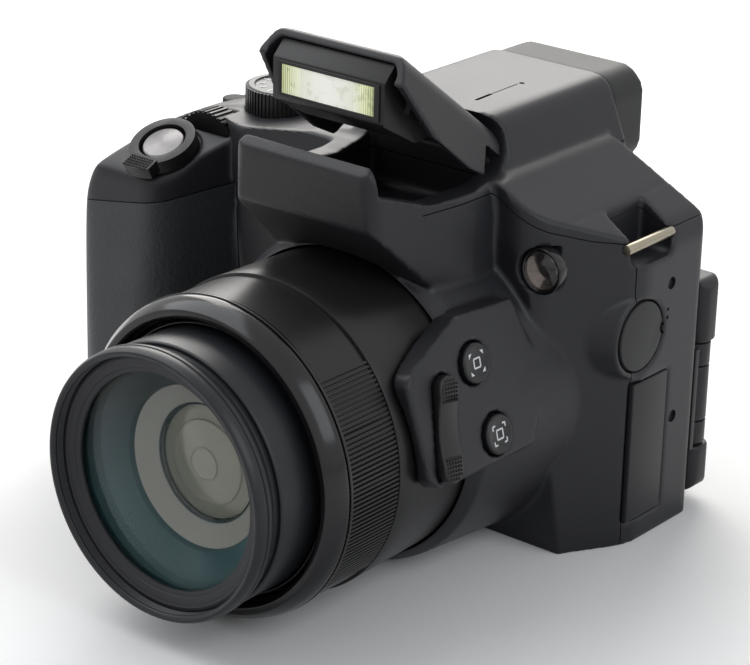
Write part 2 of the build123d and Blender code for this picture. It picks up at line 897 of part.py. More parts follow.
def grip_skin():
    """The rubber skin round the grip, under the seam of the top cover."""
    zone = slab((-grip_side - overrun, ahead(grip_nose_ahead + overrun), skin_low + seam),
                (grip_root_x - wall - seam, behind(skin_behind - wall - seam), core_corner_height))
    return largest((grip(0) & zone) - grip(skin) - top_region() - strap_recess(-1) - wheel_space())


def dome(radius, edge_ahead, crown, rear_ahead):
    """A round glass with a curved front and a flat back."""
    sphere = (radius ** 2 + crown ** 2) / (2 * crown)
    apex = ahead(edge_ahead + crown)
    ball = Pos(0, apex + sphere, lens_height) * Sphere(sphere)
    return rod_y(radius, apex, ahead(rear_ahead), 0, lens_height) & ball


def lens_parts():
    """The fixed rings, the sliding barrels and the glasses of the lens, by name."""
    base = turned([(sleeve_bore, -sleeve_behind), (sleeve_flange_radius, -sleeve_behind),
                   (sleeve_flange_radius, -sleeve_flange_behind), (sleeve_radius, -sleeve_flange_behind),
                   (sleeve_radius, base_start_ahead), (base_root_radius, base_start_ahead),
                   (base_radius, base_ahead), (sleeve_radius, base_ahead),
                   (sleeve_radius, ring_ahead - fit_gap),
                   (sleeve_bore, ring_ahead - fit_gap)])
    bezel = turned([(bezel_bore, ring_ahead + seam), (ring_radius - fit_gap, ring_ahead + seam),
                    (bezel_bevel_radius, bezel_bevel_ahead), (bezel_face_radius, bezel_ahead - slide_gap),
                    (bezel_face_radius - slide_gap, bezel_ahead), (bezel_bore, bezel_ahead)])
    cam = turned([(cam_bore, -cam_behind), (cam_radius, -cam_behind), (cam_radius, cam_ahead),
                  (cam_bore, cam_ahead)])
    middle = turned([(middle_bore, middle_ahead - middle_length),
                     (middle_radius, middle_ahead - middle_length),
                     (middle_radius, middle_ahead), (middle_bore, middle_ahead)])
    front = turned([(front_bore, front_ahead - front_length), (front_radius, front_ahead - front_length),
                    (front_radius, front_ahead), (front_bore, front_ahead)])
    rim = turned([(shelf_radius, front_ahead + fit_gap), (rim_groove_radius, front_ahead + fit_gap),
                  (rim_groove_radius, rim_groove_ahead), (rim_radius, rim_flange_ahead),
                  (rim_radius, rim_side_ahead),
                  (rim_face_radius, rim_ahead), (rim_mouth_radius, rim_ahead),
                  (rim_mouth_radius, rim_shelf_ahead),
                  (shelf_radius, rim_shelf_ahead)])
    face = turned([(rim_mouth_radius - fit_gap, rim_shelf_ahead + fit_gap),
                   (rim_mouth_radius - fit_gap, name_ring_ahead),
                   (name_ring_face_radius, name_ring_ahead), (name_ring_bore, name_ring_inner_ahead),
                   (name_ring_bore, name_ring_seat_ahead), (name_ring_seat_radius, name_ring_seat_ahead),
                   (name_ring_seat_radius, rim_shelf_ahead + fit_gap)])
    cell = turned([(front_bore - fit_gap, cell_front_ahead), (front_bore - fit_gap, cell_rear_ahead),
                   (cell_bore, cell_rear_ahead), (cell_bore, cell_step_ahead),
                   (cell_step_radius, cell_step_ahead),
                   (cell_mouth_radius, cell_front_ahead)])
    return {"lens_base": base, "ribbed_ring": ribbed_ring(), "bezel_ring": bezel, "cam_barrel": cam,
            "middle_barrel": middle, "front_barrel": front, "front_ring": rim, "face_ring": face,
            "front_glass": dome(glass_radius, glass_edge_ahead, glass_crown, cell_front_ahead + fit_gap),
            "lens_cell": cell,
            "inner_glass": dome(cell_bore - fit_gap, inner_edge_ahead, inner_crown, cell_rear_ahead)}


def ribbed_ring():
    """The grip ring with fine ribs on both of its sides."""
    low = ring_radius - rib_depth
    pitch = math.degrees(rib_pitch / ring_radius)
    rim = []
    for i in range(int((rib_end_angle - rib_start_angle) / pitch)):
        angle = rib_start_angle + i * pitch
        for share, radius in ((0, low - rib_depth), (0.2, ring_radius), (0.7, ring_radius),
                              (0.9, low - rib_depth)):
            turn = math.radians(angle + share * pitch)
            rim.append((radius * math.cos(turn), radius * math.sin(turn)))
    ribs = make_face(Polyline(*rim, close=True))
    face = Circle(low) + ribs + mirror(ribs, about=Plane.YZ) - Circle(sleeve_radius + fit_gap)
    start = base_ahead + seam
    return Pos(0, ahead(start), lens_height) * Rot(90, 0, 0) * extrude(face, amount=ring_ahead - start)


def open_flash(shape):
    """Turns a shape drawn with the flash closed to the raised place that the photo shows."""
    y, z = ahead(flash_hinge_ahead), flash_hinge_height
    return Pos(0, y, z) * Rot(-flash_open_degrees, 0, 0) * Pos(0, -y, -z) * shape


def flash_lid():
    """The flash's outer lid, a thin shell cut from the hump."""
    return largest(open_flash(largest((hump(0) & lid_region()) - hump(lid_wall))))


def flash_pin(radius, half):
    """The flash's hinge pin."""
    return rod_x(radius, -half, half, ahead(flash_hinge_ahead), flash_hinge_height)


def flash_ears():
    """The two ears on the top cover that hold the flash pin."""
    y = ahead(flash_hinge_ahead)
    ears = []
    for low, high in ((ear_inner, ear_outer), (-ear_outer, -ear_inner)):
        ears += [slab((low, y - ear_radius, well_floor_height - wall),
                      (high, y + ear_radius, flash_hinge_height)),
                 rod_x(ear_radius, low, high, y, flash_hinge_height)]
    return ears


def flash_head():
    """The lamp head with its two arms, drawn raised."""
    front = ahead(head_window_ahead)
    body = along_x([(front, head_low), (front, head_high), (ahead(head_brow_ahead), head_brow_height),
                    (ahead(head_rear_ahead), head_rear_high), (ahead(head_rear_ahead), head_rear_low),
                    (ahead(head_back_ahead), head_back_low)],
                   [head_corner_radius] * 6, -head_half, head_half)
    root = (ahead(flash_hinge_ahead), flash_hinge_height)
    run, rise = ahead(arm_ahead) - root[0], arm_height - root[1]
    reach = math.hypot(run, rise)
    step = (-rise * arm_width / 2 / reach, run * arm_width / 2 / reach)
    corners = [(root[0] + step[0], root[1] + step[1]), (ahead(arm_ahead) + step[0], arm_height + step[1]),
               (ahead(arm_ahead) - step[0], arm_height - step[1]), (root[0] - step[0], root[1] - step[1])]
    for low, high in ((head_half, head_half + arm_thick), (-head_half - arm_thick, -head_half)):
        body += along_x(corners, [0, arm_thick, arm_thick, 0], low, high)
        body += rod_x(arm_width / 2, low, high, *root)
    body = body & open_flash(hump(lid_wall + seam))
    body -= flash_pin(pin_radius + pin_gap, hump_base_half)
    body -= window_block(fit_gap, front - overrun, front + window_thick - window_proud + fit_gap)
    body -= reflector_block(fit_gap)
    return largest(body)


def window_block(grow, low_y, high_y):
    """The flash window's block."""
    return slab((-window_half - grow, low_y, window_low - grow),
                (window_half + grow, high_y, window_high + grow))


def reflector_block(grow):
    """The block that the reflector and the tube fill behind the window."""
    start = ahead(head_window_ahead) + window_thick - window_proud
    return slab((-window_half + reflector_inset - grow, start, window_low + reflector_inset - grow),
                (window_half - reflector_inset + grow, start + reflector_deep + grow,
                 window_high - reflector_inset + grow))


def flash_inside():
    """The window, the reflector and the tube of the flash, by name."""
    front = ahead(head_window_ahead) - window_proud
    start = front + window_thick + fit_gap
    middle = (window_low + window_high) / 2
    hollow = slab((-window_half + reflector_inset + reflector_wall, start - overrun,
                   window_low + reflector_inset + reflector_wall),
                  (window_half - reflector_inset - reflector_wall,
                   start + reflector_deep - reflector_wall,
                   window_high - reflector_inset - reflector_wall))
    block = reflector_block(0) & slab((-head_half, start, head_low),
                                      (head_half, front + 2 * overrun, head_high))
    half = window_half - reflector_inset - reflector_wall
    tube = rod_x(tube_radius, -half, half, start + reflector_deep / 2, middle)
    return {"flash_window": window_block(0, front, front + window_thick),
            "flash_reflector": block - hollow,
            "flash_tube": tube}


def top_parts():
    """The buttons, the lever and the dials on the top, by name."""
    cap = Pos(0, 0, (shutter_cap - shutter_skirt) / 2) * Cylinder(shutter_radius,
                                                                  shutter_cap + shutter_skirt)
    cap = chamfer(cap.edges().group_by(Axis.Z)[-1], shutter_crown)
    stem = Pos(0, 0, -shutter_foot / 2) * Cylinder(shutter_stem, shutter_foot)
    ring_middle, ring_length = (lever_rise - lever_sink) / 2, lever_rise + lever_sink
    ring = Pos(0, 0, ring_middle) * (Cylinder(lever_radius, ring_length) - Cylinder(lever_bore,
                                                                                    ring_length))
    tab = Pos((lever_tab_reach + lever_tab_start) / 2, 0, (lever_tab_rise + lever_tab_low) / 2) * Box(
        lever_tab_reach - lever_tab_start, 2 * lever_tab_half, lever_tab_rise - lever_tab_low)
    tab = tab & Cylinder(lever_tab_reach, 2 * lever_tab_rise)
    wheel = toothed(wheel_radius, wheel_teeth, wheel_tooth, wheel_length)
    wheel += Cylinder(axle_radius, wheel_length + 2 * axle_reach)
    mode = Pos(mode_x, behind(mode_behind), (mode_low + mode_high) / 2) * toothed(
        mode_radius, mode_teeth, mode_tooth, mode_high - mode_low)
    mode += rod_z(mode_spindle, mode_spindle_low, mode_low, mode_x, behind(mode_behind))
    power = rod_z(power_radius, power_low, power_top, power_x, behind(power_behind))
    return {"shutter_button": deck_frame() * (cap + stem),
            "zoom_lever": deck_frame() * (ring + Rot(0, 0, lever_tab_angle) * tab),
            "front_dial": Pos(wheel_x, ahead(wheel_ahead), wheel_height) * Rot(90, 0, 0) * wheel,
            "mode_dial": mode, "power_button": power}


def side_parts():
    """The controls on the lens plate, the lamp, the jacks and their covers, by name."""
    face = plate_reach + side_button_rise
    seek = on_plate(rod_x(side_button_radius, side_button_root, face, ahead(seek_ahead), seek_up))
    lock = on_plate(rod_x(side_button_radius, side_button_root, face, ahead(lock_ahead), lock_up))
    dish = rod_y(rocker_dish_radius, ahead(rocker_ahead + overrun), ahead(rocker_ahead - overrun),
                 plate_reach + rocker_rise + rocker_dish_radius - rocker_dish, rocker_up)
    rocker = on_plate(rocker_outline(0, rocker_root, plate_reach + rocker_rise) - dish)
    lamp = Pos(lamp_x, 0, lamp_height - lens_height) * dome(
        lamp_radius, lamp_ahead, lamp_crown, lamp_ahead - lamp_depth)
    cap = rod_x(cap_radius, cap_face - cap_thick, cap_face, behind(cap_behind), cap_height)
    jack_face = cap_face - cap_thick - slide_gap
    jack = rod_x(jack_radius, jack_face - jack_length, jack_face, behind(cap_behind), cap_height)
    jack -= rod_x(jack_bore, jack_face - jack_deep, jack_face, behind(cap_behind), cap_height)
    door = slab((hinge_side - terminal_thick, behind(terminal_front_behind) + seam, terminal_low + seam),
                (hinge_side, behind(terminal_rear_behind) - seam, terminal_high - seam))
    block = slab((terminal_block_root, behind(terminal_front_behind + wall) + fit_gap,
                  terminal_low + wall + fit_gap),
                 (terminal_block_reach, behind(terminal_rear_behind - wall) - fit_gap,
                  terminal_high - wall - fit_gap))
    middle = behind((terminal_front_behind + terminal_rear_behind) / 2)
    for share in socket_hole_heights:
        low = share * socket_hole_size
        block -= slab((terminal_block_reach - socket_hole_deep, middle - socket_hole_half, low),
                      (terminal_block_reach, middle + socket_hole_half, low + socket_hole_high))
    bars = strap_bar(hinge_side - strap_bar_inset, strap_bar_radius) + strap_bar(
        strap_grip_inset - grip_side, strap_bar_radius)
    return {"seek_button": seek, "lock_button": lock, "zoom_rocker": rocker, "focus_lamp": lamp,
            "jack_cap": cap,
            "audio_jack": jack, "terminal_door": door, "terminal_block": block, "strap_bars": bars}


def screen_parts():
    """The screen, its glass and its hinge, by name."""
    front, rear = behind(screen_behind), behind(screen_behind + screen_thick)
    right = hinge_side - seam
    shell = along_y([(screen_left, screen_low), (right, screen_low), (right, screen_high),
                     (screen_left, screen_high)],
                    [screen_corner_radius] * 4, front, rear)
    shell = shell & along_z([(screen_left, front), (right, front), (right, rear), (screen_left, rear)],
                            [wall, screen_end_radius, screen_end_radius, wall], 0, core_corner_height)
    shell -= slab((screen_notch_x, front - overrun, screen_notch_low), (right + overrun, rear + overrun,
                                                                       screen_notch_high))
    glass_low = (screen_left + glass_border, rear - screen_glass_thick, screen_low + glass_border)
    glass_high = (screen_notch_x - glass_border, rear, screen_high - glass_border)
    shell -= slab([v - fit_gap for v in glass_low], [glass_high[0] + fit_gap, rear + overrun,
                                                     glass_high[2] + fit_gap])
    pin_y = behind(pivot_behind)
    leaf = slab((leaf_left, behind(body_behind - relief_depth) + fit_gap, knuckle_low),
                (right, behind(body_behind - relief_depth) + leaf_thick, knuckle_high))
    for low, high in ((knuckle_low, knuckle_split_low), (knuckle_split_high, knuckle_high)):
        leaf += rod_z(knuckle_radius, low, high, pivot_x, pin_y)
        leaf += slab((pivot_x - arm_half_thick, behind(body_behind - relief_depth) + leaf_thick / 2, low),
                     (pivot_x + arm_half_thick, pin_y, high))
    low, high = knuckle_split_low + slide_gap, knuckle_split_high - slide_gap
    arm = rod_z(knuckle_radius, low, high, pivot_x, pin_y)
    arm += slab((screen_notch_x + fit_gap, pin_y - arm_half_thick, low),
                (pivot_x, pin_y + arm_half_thick, high))
    bore = rod_z(pivot_radius + pin_gap, knuckle_low - overrun, knuckle_high + overrun, pivot_x, pin_y)
    return {"screen_shell": largest(shell), "screen_glass": slab(glass_low, glass_high),
            "screen_hinge_base": leaf - bore, "screen_hinge_arm": arm - bore,
            "screen_pin": rod_z(pivot_radius, knuckle_low, knuckle_high, pivot_x, pin_y)}


def rear_parts():
    """The controls and the eyepiece on the back, by name."""
    rear = behind(body_behind)
    dial = toothed(rear_dial_radius, rear_dial_teeth, rear_dial_tooth, rear_dial_thick) - Cylinder(
        rear_dial_bore, rear_dial_thick)
    parts = {"rear_dial": Pos(rear_dial_x, rear + seam, rear_dial_height) * Rot(90, 0, 0) * dial,
             "set_button": rod_y(set_radius, behind(set_root), rear + set_rise, rear_dial_x,
                                 rear_dial_height)}
    for name, (x, z) in rear_button_places().items():
        parts[name] = rod_y(rear_button_radius, behind(rear_button_root), rear + rear_button_rise, x, z)
    parts["thumb_rest"] = along_y(
        [(rest_x - rest_half, rest_height - rest_high_half),
         (rest_x + rest_half, rest_height - rest_high_half),
         (rest_x + rest_half, rest_height + rest_high_half),
         (rest_x - rest_half, rest_height + rest_high_half)],
        [wall] * 4, rear, rear + rest_thick)
    foot = rear + rear_button_rise + fit_gap
    ends = [(-eyecup_half, eyecup_low), (eyecup_half, eyecup_low), (eyecup_half, eyecup_high),
            (-eyecup_half, eyecup_high)]
    inner = eyecup_half - eyecup_wall
    inner_ends = [(-inner, eyecup_low + eyecup_wall), (inner, eyecup_low + eyecup_wall),
                  (inner, eyecup_high - eyecup_wall), (-inner, eyecup_high - eyecup_wall)]
    cup = along_y(ends, [eyecup_radius] * 4, foot, behind(eyecup_behind))
    cup -= along_y(inner_ends, [eyecup_wall] * 4, foot + eyecup_floor, behind(eyecup_behind) + overrun)
    parts["eyecup"] = cup - eyepiece_space()
    parts["eyepiece_glass"] = slab(
        (fit_gap - eyepiece_half, behind(eyepiece_behind), eyepiece_low + fit_gap),
        (eyepiece_half - fit_gap, behind(eyepiece_behind + eyepiece_thick), eyepiece_high - fit_gap))
    front = behind(housing_front_behind)
    housing = slab((-housing_half, front, housing_low), (housing_half, behind(housing_rear_behind),
                                                         housing_high))
    housing -= slab((-housing_window, behind(finder_behind), eyepiece_low),
                    (housing_window, behind(housing_rear_behind + overrun), eyepiece_high))
    display = [(-finder_half, behind(finder_behind - finder_thick), finder_low),
               (finder_half, behind(finder_behind), finder_high)]
    housing -= slab([v - fit_gap for v in display[0]], [v + fit_gap for v in display[1]])
    parts["viewfinder_housing"] = housing
    parts["viewfinder_display"] = slab(*display)
    return parts


def base_parts():
    """The base plate, its screws, the tripod socket and the battery door, by name."""
    plate_piece = along_z(*base_outline(seam), 0, base_thick) - rod_z(socket_outer_radius + fit_gap, 0,
                                                                      base_thick, 0, 0)
    screws = []
    for x, y in screw_places():
        plate_piece -= rod_z(screw_head_radius + fit_gap, 0, screw_sunk + screw_head, x, y)
        plate_piece -= rod_z(screw_radius + fit_gap, 0, base_thick, x, y)
        screws += [rod_z(screw_head_radius, screw_sunk, screw_sunk + screw_head, x, y)
                   + rod_z(screw_radius, screw_sunk, screw_sunk + screw_head + screw_length, x, y)]
    socket = rod_z(socket_outer_radius, 0, socket_length + socket_end, 0, 0)
    socket += rod_z(socket_flange_radius, cavity_low + fit_gap,
                    cavity_low + fit_gap + socket_flange_thick, 0, 0)
    socket -= rod_z(socket_radius, 0, socket_length, 0, 0)
    low, high = ahead(door_ahead), behind(door_pin_behind) + door_thick / 2
    door = along_z([(door_left, low), (door_right, low), (door_right, high), (door_left, high)],
                   [door_corner, door_corner, 0, 0], door_lift, door_lift + door_thick)
    door += rod_x(door_pin_radius, door_left - door_pin_reach + slide_gap,
                  door_right + door_pin_reach - slide_gap,
                  behind(door_pin_behind), door_pin_height)
    return {"base_plate": plate_piece, "base_screws": Compound(children=screws), "tripod_socket": socket,
            "battery_door": door}


def inner_parts():
    """The chassis and what it and the battery box carry, by name."""
    low, high = cavity_low + seam, cavity_side_high - seam
    front = behind(chassis_behind)
    back = front + chassis_thick
    chassis = slab((chassis_left, front, low), (chassis_right, back, high))
    chassis -= rod_y(chassis_window, front, back, 0, lens_height)
    sensor = slab((-sensor_width / 2, back + fit_gap, lens_height - sensor_height_size / 2),
                  (sensor_width / 2, back + fit_gap + sensor_thick, lens_height + sensor_height_size / 2))
    board = slab((board_left, behind(board_behind), board_low),
                 (board_right, behind(board_behind) + board_thick,
                                                                board_high))
    battery = slab((battery_left, ahead(battery_ahead), battery_low),
                   (battery_right, behind(battery_behind),
                                                                      battery_high))
    card = slab((card_left, ahead(card_ahead), card_low), (card_right, behind(battery_behind), card_high))
    edge = box_wall + slide_gap
    box_rear = behind(battery_behind) + edge
    box = slab((battery_left - edge, ahead(battery_ahead) - edge, cavity_low + fit_gap),
               (card_right + edge, box_rear, battery_high + edge))
    box += slab((battery_left - edge, ahead(battery_ahead) - edge, cavity_low + fit_gap),
                (card_right + edge, box_rear + box_foot, cavity_low + fit_gap + box_wall))
    box -= slab((battery_left - slide_gap, ahead(battery_ahead) - slide_gap, 0),
                (battery_right + slide_gap, behind(battery_behind) + slide_gap, battery_high + slide_gap))
    box -= slab((card_left - slide_gap, ahead(card_ahead) - slide_gap, 0),
                (card_right + slide_gap, behind(battery_behind) + slide_gap, card_high + slide_gap))
    return {"chassis": chassis, "image_sensor": sensor, "main_board": board, "battery": battery,
            "memory_card": card, "battery_box": box}


os.makedirs("parts", exist_ok=True)

if __name__ == "__main__":
    front_cover, top_cover, rear_cover = covers()
    for ear in flash_ears():
        top_cover += ear
    save("front_cover", front_cover)
    save("top_cover", largest(top_cover - flash_pin(pin_radius + pin_gap, ear_outer + fit_gap)))
    save("rear_cover", rear_cover)
    save("grip_skin", grip_skin())
    save("flash_lid", flash_lid())
    save("flash_head", flash_head())
    save("flash_pin", flash_pin(pin_radius, head_half + arm_thick))
    for group in (lens_parts(), flash_inside(), top_parts(), side_parts(), screen_parts(), rear_parts(),
                  base_parts(),
                  inner_parts()):
        for name, shape in group.items():
            save(name, shape)
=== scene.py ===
import bpy
import itertools
import json
import math
from mathutils import Matrix, Vector

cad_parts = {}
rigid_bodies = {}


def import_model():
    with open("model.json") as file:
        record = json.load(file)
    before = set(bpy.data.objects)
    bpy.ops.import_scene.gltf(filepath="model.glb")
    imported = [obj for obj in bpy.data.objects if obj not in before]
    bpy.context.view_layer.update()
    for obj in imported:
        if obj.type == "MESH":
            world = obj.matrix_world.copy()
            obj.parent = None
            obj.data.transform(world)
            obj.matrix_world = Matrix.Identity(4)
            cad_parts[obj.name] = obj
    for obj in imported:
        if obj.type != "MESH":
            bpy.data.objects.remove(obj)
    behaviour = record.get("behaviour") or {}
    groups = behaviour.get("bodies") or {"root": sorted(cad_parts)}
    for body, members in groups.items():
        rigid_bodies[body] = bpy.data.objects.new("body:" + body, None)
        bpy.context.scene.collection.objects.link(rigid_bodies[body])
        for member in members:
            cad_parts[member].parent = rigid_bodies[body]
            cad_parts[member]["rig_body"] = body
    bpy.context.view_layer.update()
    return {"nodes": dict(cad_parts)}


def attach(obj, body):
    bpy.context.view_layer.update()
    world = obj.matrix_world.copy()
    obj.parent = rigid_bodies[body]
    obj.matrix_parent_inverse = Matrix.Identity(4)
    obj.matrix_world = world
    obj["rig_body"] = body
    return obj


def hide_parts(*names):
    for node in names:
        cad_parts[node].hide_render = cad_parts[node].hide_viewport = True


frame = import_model()
mm = 0.001
frontY = -14.0         # the body's front plane, 14 mm ahead of the tripod socket
lensZ = 33.5           # height of the lens axis
plateTilt = math.radians(14)


def place(x, ahead, z):
    return Vector((x * mm, (frontY - ahead) * mm, z * mm))     # ahead counts towards the subject


def onPlate(reach, ahead, up):
    # A place on the control plate, which leans back round the lens axis
    c, s = math.cos(plateTilt), math.sin(plateTilt)
    return place(reach * c - up * s, ahead, lensZ + reach * s + up * c)


# Hand tools
def deselect():
    if bpy.context.object and bpy.context.object.mode != "OBJECT":
        bpy.ops.object.mode_set(mode="OBJECT")
    bpy.ops.object.select_all(action="DESELECT")


def pick(obj):
    deselect()
    obj.select_set(True)
    bpy.context.view_layer.objects.active = obj


def enter(obj):
    # Opens a piece in edit mode with all of it selected
    pick(obj)
    bpy.ops.object.mode_set(mode="EDIT")
    bpy.ops.mesh.select_all(action="SELECT")


def leave():
    bpy.ops.object.mode_set(mode="OBJECT")


def settle(obj, name):
    pick(obj)
    bpy.ops.object.transform_apply(location=True, rotation=True, scale=True)
    obj.name = name
    return obj


def modify(obj, kind, **settings):
    pick(obj)
    modifier = obj.modifiers.new(kind, kind)
    for key, value in settings.items():
        setattr(modifier, key, value)
    bpy.ops.object.modifier_apply(modifier=modifier.name)
    return obj


def soften(obj, rounds, **settings):
    return modify(obj, "SMOOTH", factor=0.5, iterations=rounds, **settings)


def bevel(obj, width, segments=2, angle=30):
    return modify(obj, "BEVEL", width=width * mm, segments=segments, limit_method="ANGLE",
                  angle_limit=math.radians(angle))


def choose(obj, test):
    # Selects the faces whose middle and normal pass the test, and stays in edit mode
    pick(obj)
    bpy.ops.object.mode_set(mode="EDIT")
    bpy.ops.mesh.select_mode(type="FACE")
    bpy.ops.mesh.select_all(action="DESELECT")
    leave()
    for face in obj.data.polygons:
        face.select = test(face.center, face.normal)
    bpy.ops.object.mode_set(mode="EDIT")


def smooth(obj, angle=30):
    pick(obj)
    bpy.ops.object.shade_smooth_by_angle(angle=math.radians(angle))
    return obj


def join(name, *pieces):
    deselect()
    for piece in pieces:
        piece.select_set(True)
    bpy.context.view_layer.objects.active = pieces[0]
    if len(pieces) > 1:
        bpy.ops.object.join()
    bpy.context.object.name = name
    return bpy.context.object


def merged(name, *nodes):
    # A new piece that starts as a merged copy of CAD nodes
    copies = []
    for node in nodes:
        source = frame["nodes"][node]
        copy = source.copy()
        copy.data = copy.data.copy()
        copy.hide_render = copy.hide_viewport = False
        bpy.context.collection.objects.link(copy)
        world = source.matrix_world.copy()
        copy.parent = None
        copy.matrix_world = world
        copies.append(copy)
    piece = settle(join(name, *copies), name)
    for key in list(piece.keys()):
        if key.startswith("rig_"):
            del piece[key]
    piece.data.materials.clear()
    enter(piece)
    bpy.ops.mesh.remove_doubles(threshold=0.002 * mm)
    leave()
    return piece


def cylinder(name, start, end, radius, sides, tip=None):
    # A round rod, or a cone with a tip radius, between two points
    axis = end - start
    where = {"depth": axis.length, "location": (start + end) / 2,
             "rotation": axis.to_track_quat("Z", "Y").to_euler()}
    deselect()
    if tip is None:
        bpy.ops.mesh.primitive_cylinder_add(vertices=sides, radius=radius * mm, **where)
    else:
        bpy.ops.mesh.primitive_cone_add(vertices=sides, radius1=radius * mm, radius2=tip * mm, **where)
    return settle(bpy.context.object, name)


def block(name, low, high):
    deselect()
    bpy.ops.mesh.primitive_cube_add(size=1, location=(low + high) / 2, scale=(
        abs(high.x - low.x), abs(high.y - low.y), abs(high.z - low.z)))
    return settle(bpy.context.object, name)


def fromPoints(name, points, edges, faces):
    mesh = bpy.data.meshes.new(name)
    mesh.from_pydata(points, edges, faces)
    piece = bpy.data.objects.new(name, mesh)
    bpy.context.collection.objects.link(piece)
    return piece


def prism(name, corners, depth):
    # A flat outline of points pulled out along depth
    piece = fromPoints(name, corners, [], [range(len(corners))])
    enter(piece)
    bpy.ops.mesh.extrude_region_move(TRANSFORM_OT_translate={"value": depth})
    bpy.ops.mesh.select_all(action="SELECT")
    bpy.ops.mesh.normals_make_consistent(inside=False)
    leave()
    return piece


def lathe(name, profile, steps, width, middle=(0, lensZ)):
    # An outline of (radius, ahead) pairs spun round a line along the lens, with its edges eased by width
    x, z = middle
    count = len(profile)
    closed = profile[0][0] != 0 or profile[-1][0] != 0
    edges = [(i, i + 1) for i in range(count - 1)] + ([(count - 1, 0)] if closed else [])
    piece = fromPoints(name, [place(x + radius, ahead, z) for radius, ahead in profile], edges, [])
    enter(piece)
    bpy.ops.mesh.spin(steps=steps, angle=math.tau, center=place(x, 0, z), axis=(0, 1, 0))
    bpy.ops.mesh.select_all(action="SELECT")
    bpy.ops.mesh.remove_doubles(threshold=0.001 * mm)
    bpy.ops.mesh.normals_make_consistent(inside=False)
    leave()
    if width:
        bevel(piece, width, angle=25)
    return smooth(piece, 35)


def eased(name, node, width, segments=2):
    # A CAD node's copy with its edges rounded as moulded plastic is
    piece = merged(name, node)
    enter(piece)
    bpy.ops.mesh.dissolve_limited(angle_limit=math.radians(0.6))
    leave()
    if width:
        bevel(piece, width, segments)
    return smooth(piece, 40)


def combine(obj, tool, operation="DIFFERENCE"):
    modify(obj, "BOOLEAN", object=tool, operation=operation, solver="MANIFOLD")
    bpy.data.objects.remove(tool, do_unlink=True)
    return obj


def twin(obj, name):
    copy = obj.copy()
    copy.data = obj.data.copy()
    copy.name = name
    bpy.context.collection.objects.link(copy)
    return copy


def carry(piece, material, slotName, *nodes, body=None):
    # Gives a piece its finish and its place among the moving bodies
    piece.data.materials.clear()
    piece.data.materials.append(material)
    if nodes:
        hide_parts(*nodes)
    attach(piece, body or frame["nodes"][nodes[0]]["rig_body"])
    return piece


# Shader maths
class Wire:
    # A socket that can be added, multiplied and compared like a number
    def __init__(self, paint, socket):
        self.paint, self.socket = paint, socket

    def sum(self, operation, left, right):
        return self.paint.node("ShaderNodeMath", {"operation": operation}, {0: left, 1: right})

    def __add__(self, other):
        return self.sum("ADD", self, other)

    def __sub__(self, other):
        return self.sum("SUBTRACT", self, other)

    def __rsub__(self, other):
        return self.sum("SUBTRACT", other, self)

    def __mul__(self, other):
        return self.sum("MULTIPLY", self, other)

    def __truediv__(self, other):
        return self.sum("DIVIDE", self, other)

    def __gt__(self, other):
        return self.sum("GREATER_THAN", self, other)

    __radd__ = __add__
    __rmul__ = __mul__


class Paint:
    # The nodes of one material, or of a world
    def __init__(self, name, shelf=bpy.data.materials, shader="Principled BSDF"):
        self.material = shelf.new(name)
        self.material.use_nodes = True
        self.tree = self.material.node_tree
        self.shader = self.tree.nodes[shader]
        self.spot = self.node("ShaderNodeTexCoord", {}, {}, "Object")

    def node(self, kind, settings, values, out=0):
        made = self.tree.nodes.new(kind)
        for key, value in settings.items():
            if key == "stops":
                ramp = made.color_ramp
                ramp.elements[0].position, ramp.elements[0].color = value[0]
                ramp.elements[1].position, ramp.elements[1].color = value[-1]
                for position, colour in value[1:-1]:
                    ramp.elements.new(position).color = colour
            else:
                setattr(made, key, value)
        for key, value in values.items():
            if isinstance(value, Wire):
                self.tree.links.new(value.socket, made.inputs[key])
            else:
                made.inputs[key].default_value = value
        return Wire(self, made.outputs[out])

    def noise(self, scale, detail=3, roughness=0.6):
        return self.node("ShaderNodeTexNoise", {}, {"Vector": self.spot, "Scale": scale,
                                                    "Detail": detail, "Roughness": roughness})

    def axis(self, letter):
        return self.node("ShaderNodeSeparateXYZ", {}, {0: self.spot}, letter)

    def waves(self, along, pitch):
        # Even waves along a measure, one for each pitch in mm
        return self.node("ShaderNodeMath", {"operation": "SINE"}, {0: along * (math.tau / (pitch * mm))})

    def ramp(self, share, stops):
        return self.node("ShaderNodeValToRGB", {"stops": stops}, {"Fac": share})

    def blend(self, share, low, high):
        return self.node("ShaderNodeMix", {"data_type": "RGBA"}, {"Factor": share, 6: low, 7: high}, 2)

    def bump(self, height, distance):
        return self.node("ShaderNodeBump", {}, {"Height": height, "Distance": distance * mm})

    def shown(self):
        # 1 for what the camera sees, straight or in a reflection or through glass
        rays = [self.node("ShaderNodeLightPath", {}, {}, ray)
                for ray in ("Is Camera Ray", "Is Glossy Ray", "Is Transmission Ray")]
        either = self.node("ShaderNodeMath", {"operation": "MAXIMUM"}, {0: rays[0], 1: rays[1]})
        return self.node("ShaderNodeMath", {"operation": "MAXIMUM"}, {0: either, 1: rays[2]})

    def set(self, **values):
        for key, value in values.items():
            socket = self.shader.inputs[key.replace("_", " ")]
            if isinstance(value, Wire):
                self.tree.links.new(value.socket, socket)
            else:
                socket.default_value = value
        return self.material


def grey(level, warm=0.0):
    return (level * (1 + warm), level, level * (1 - warm), 1)


def tone(colour, share):
    return tuple(c * share for c in colour[:3]) + (1,)


mouldForm = {"drift": 60, "fineGloss": 0.07, "broadGloss": 0.06, "lessRough": 0.05, "specular": 0.32}


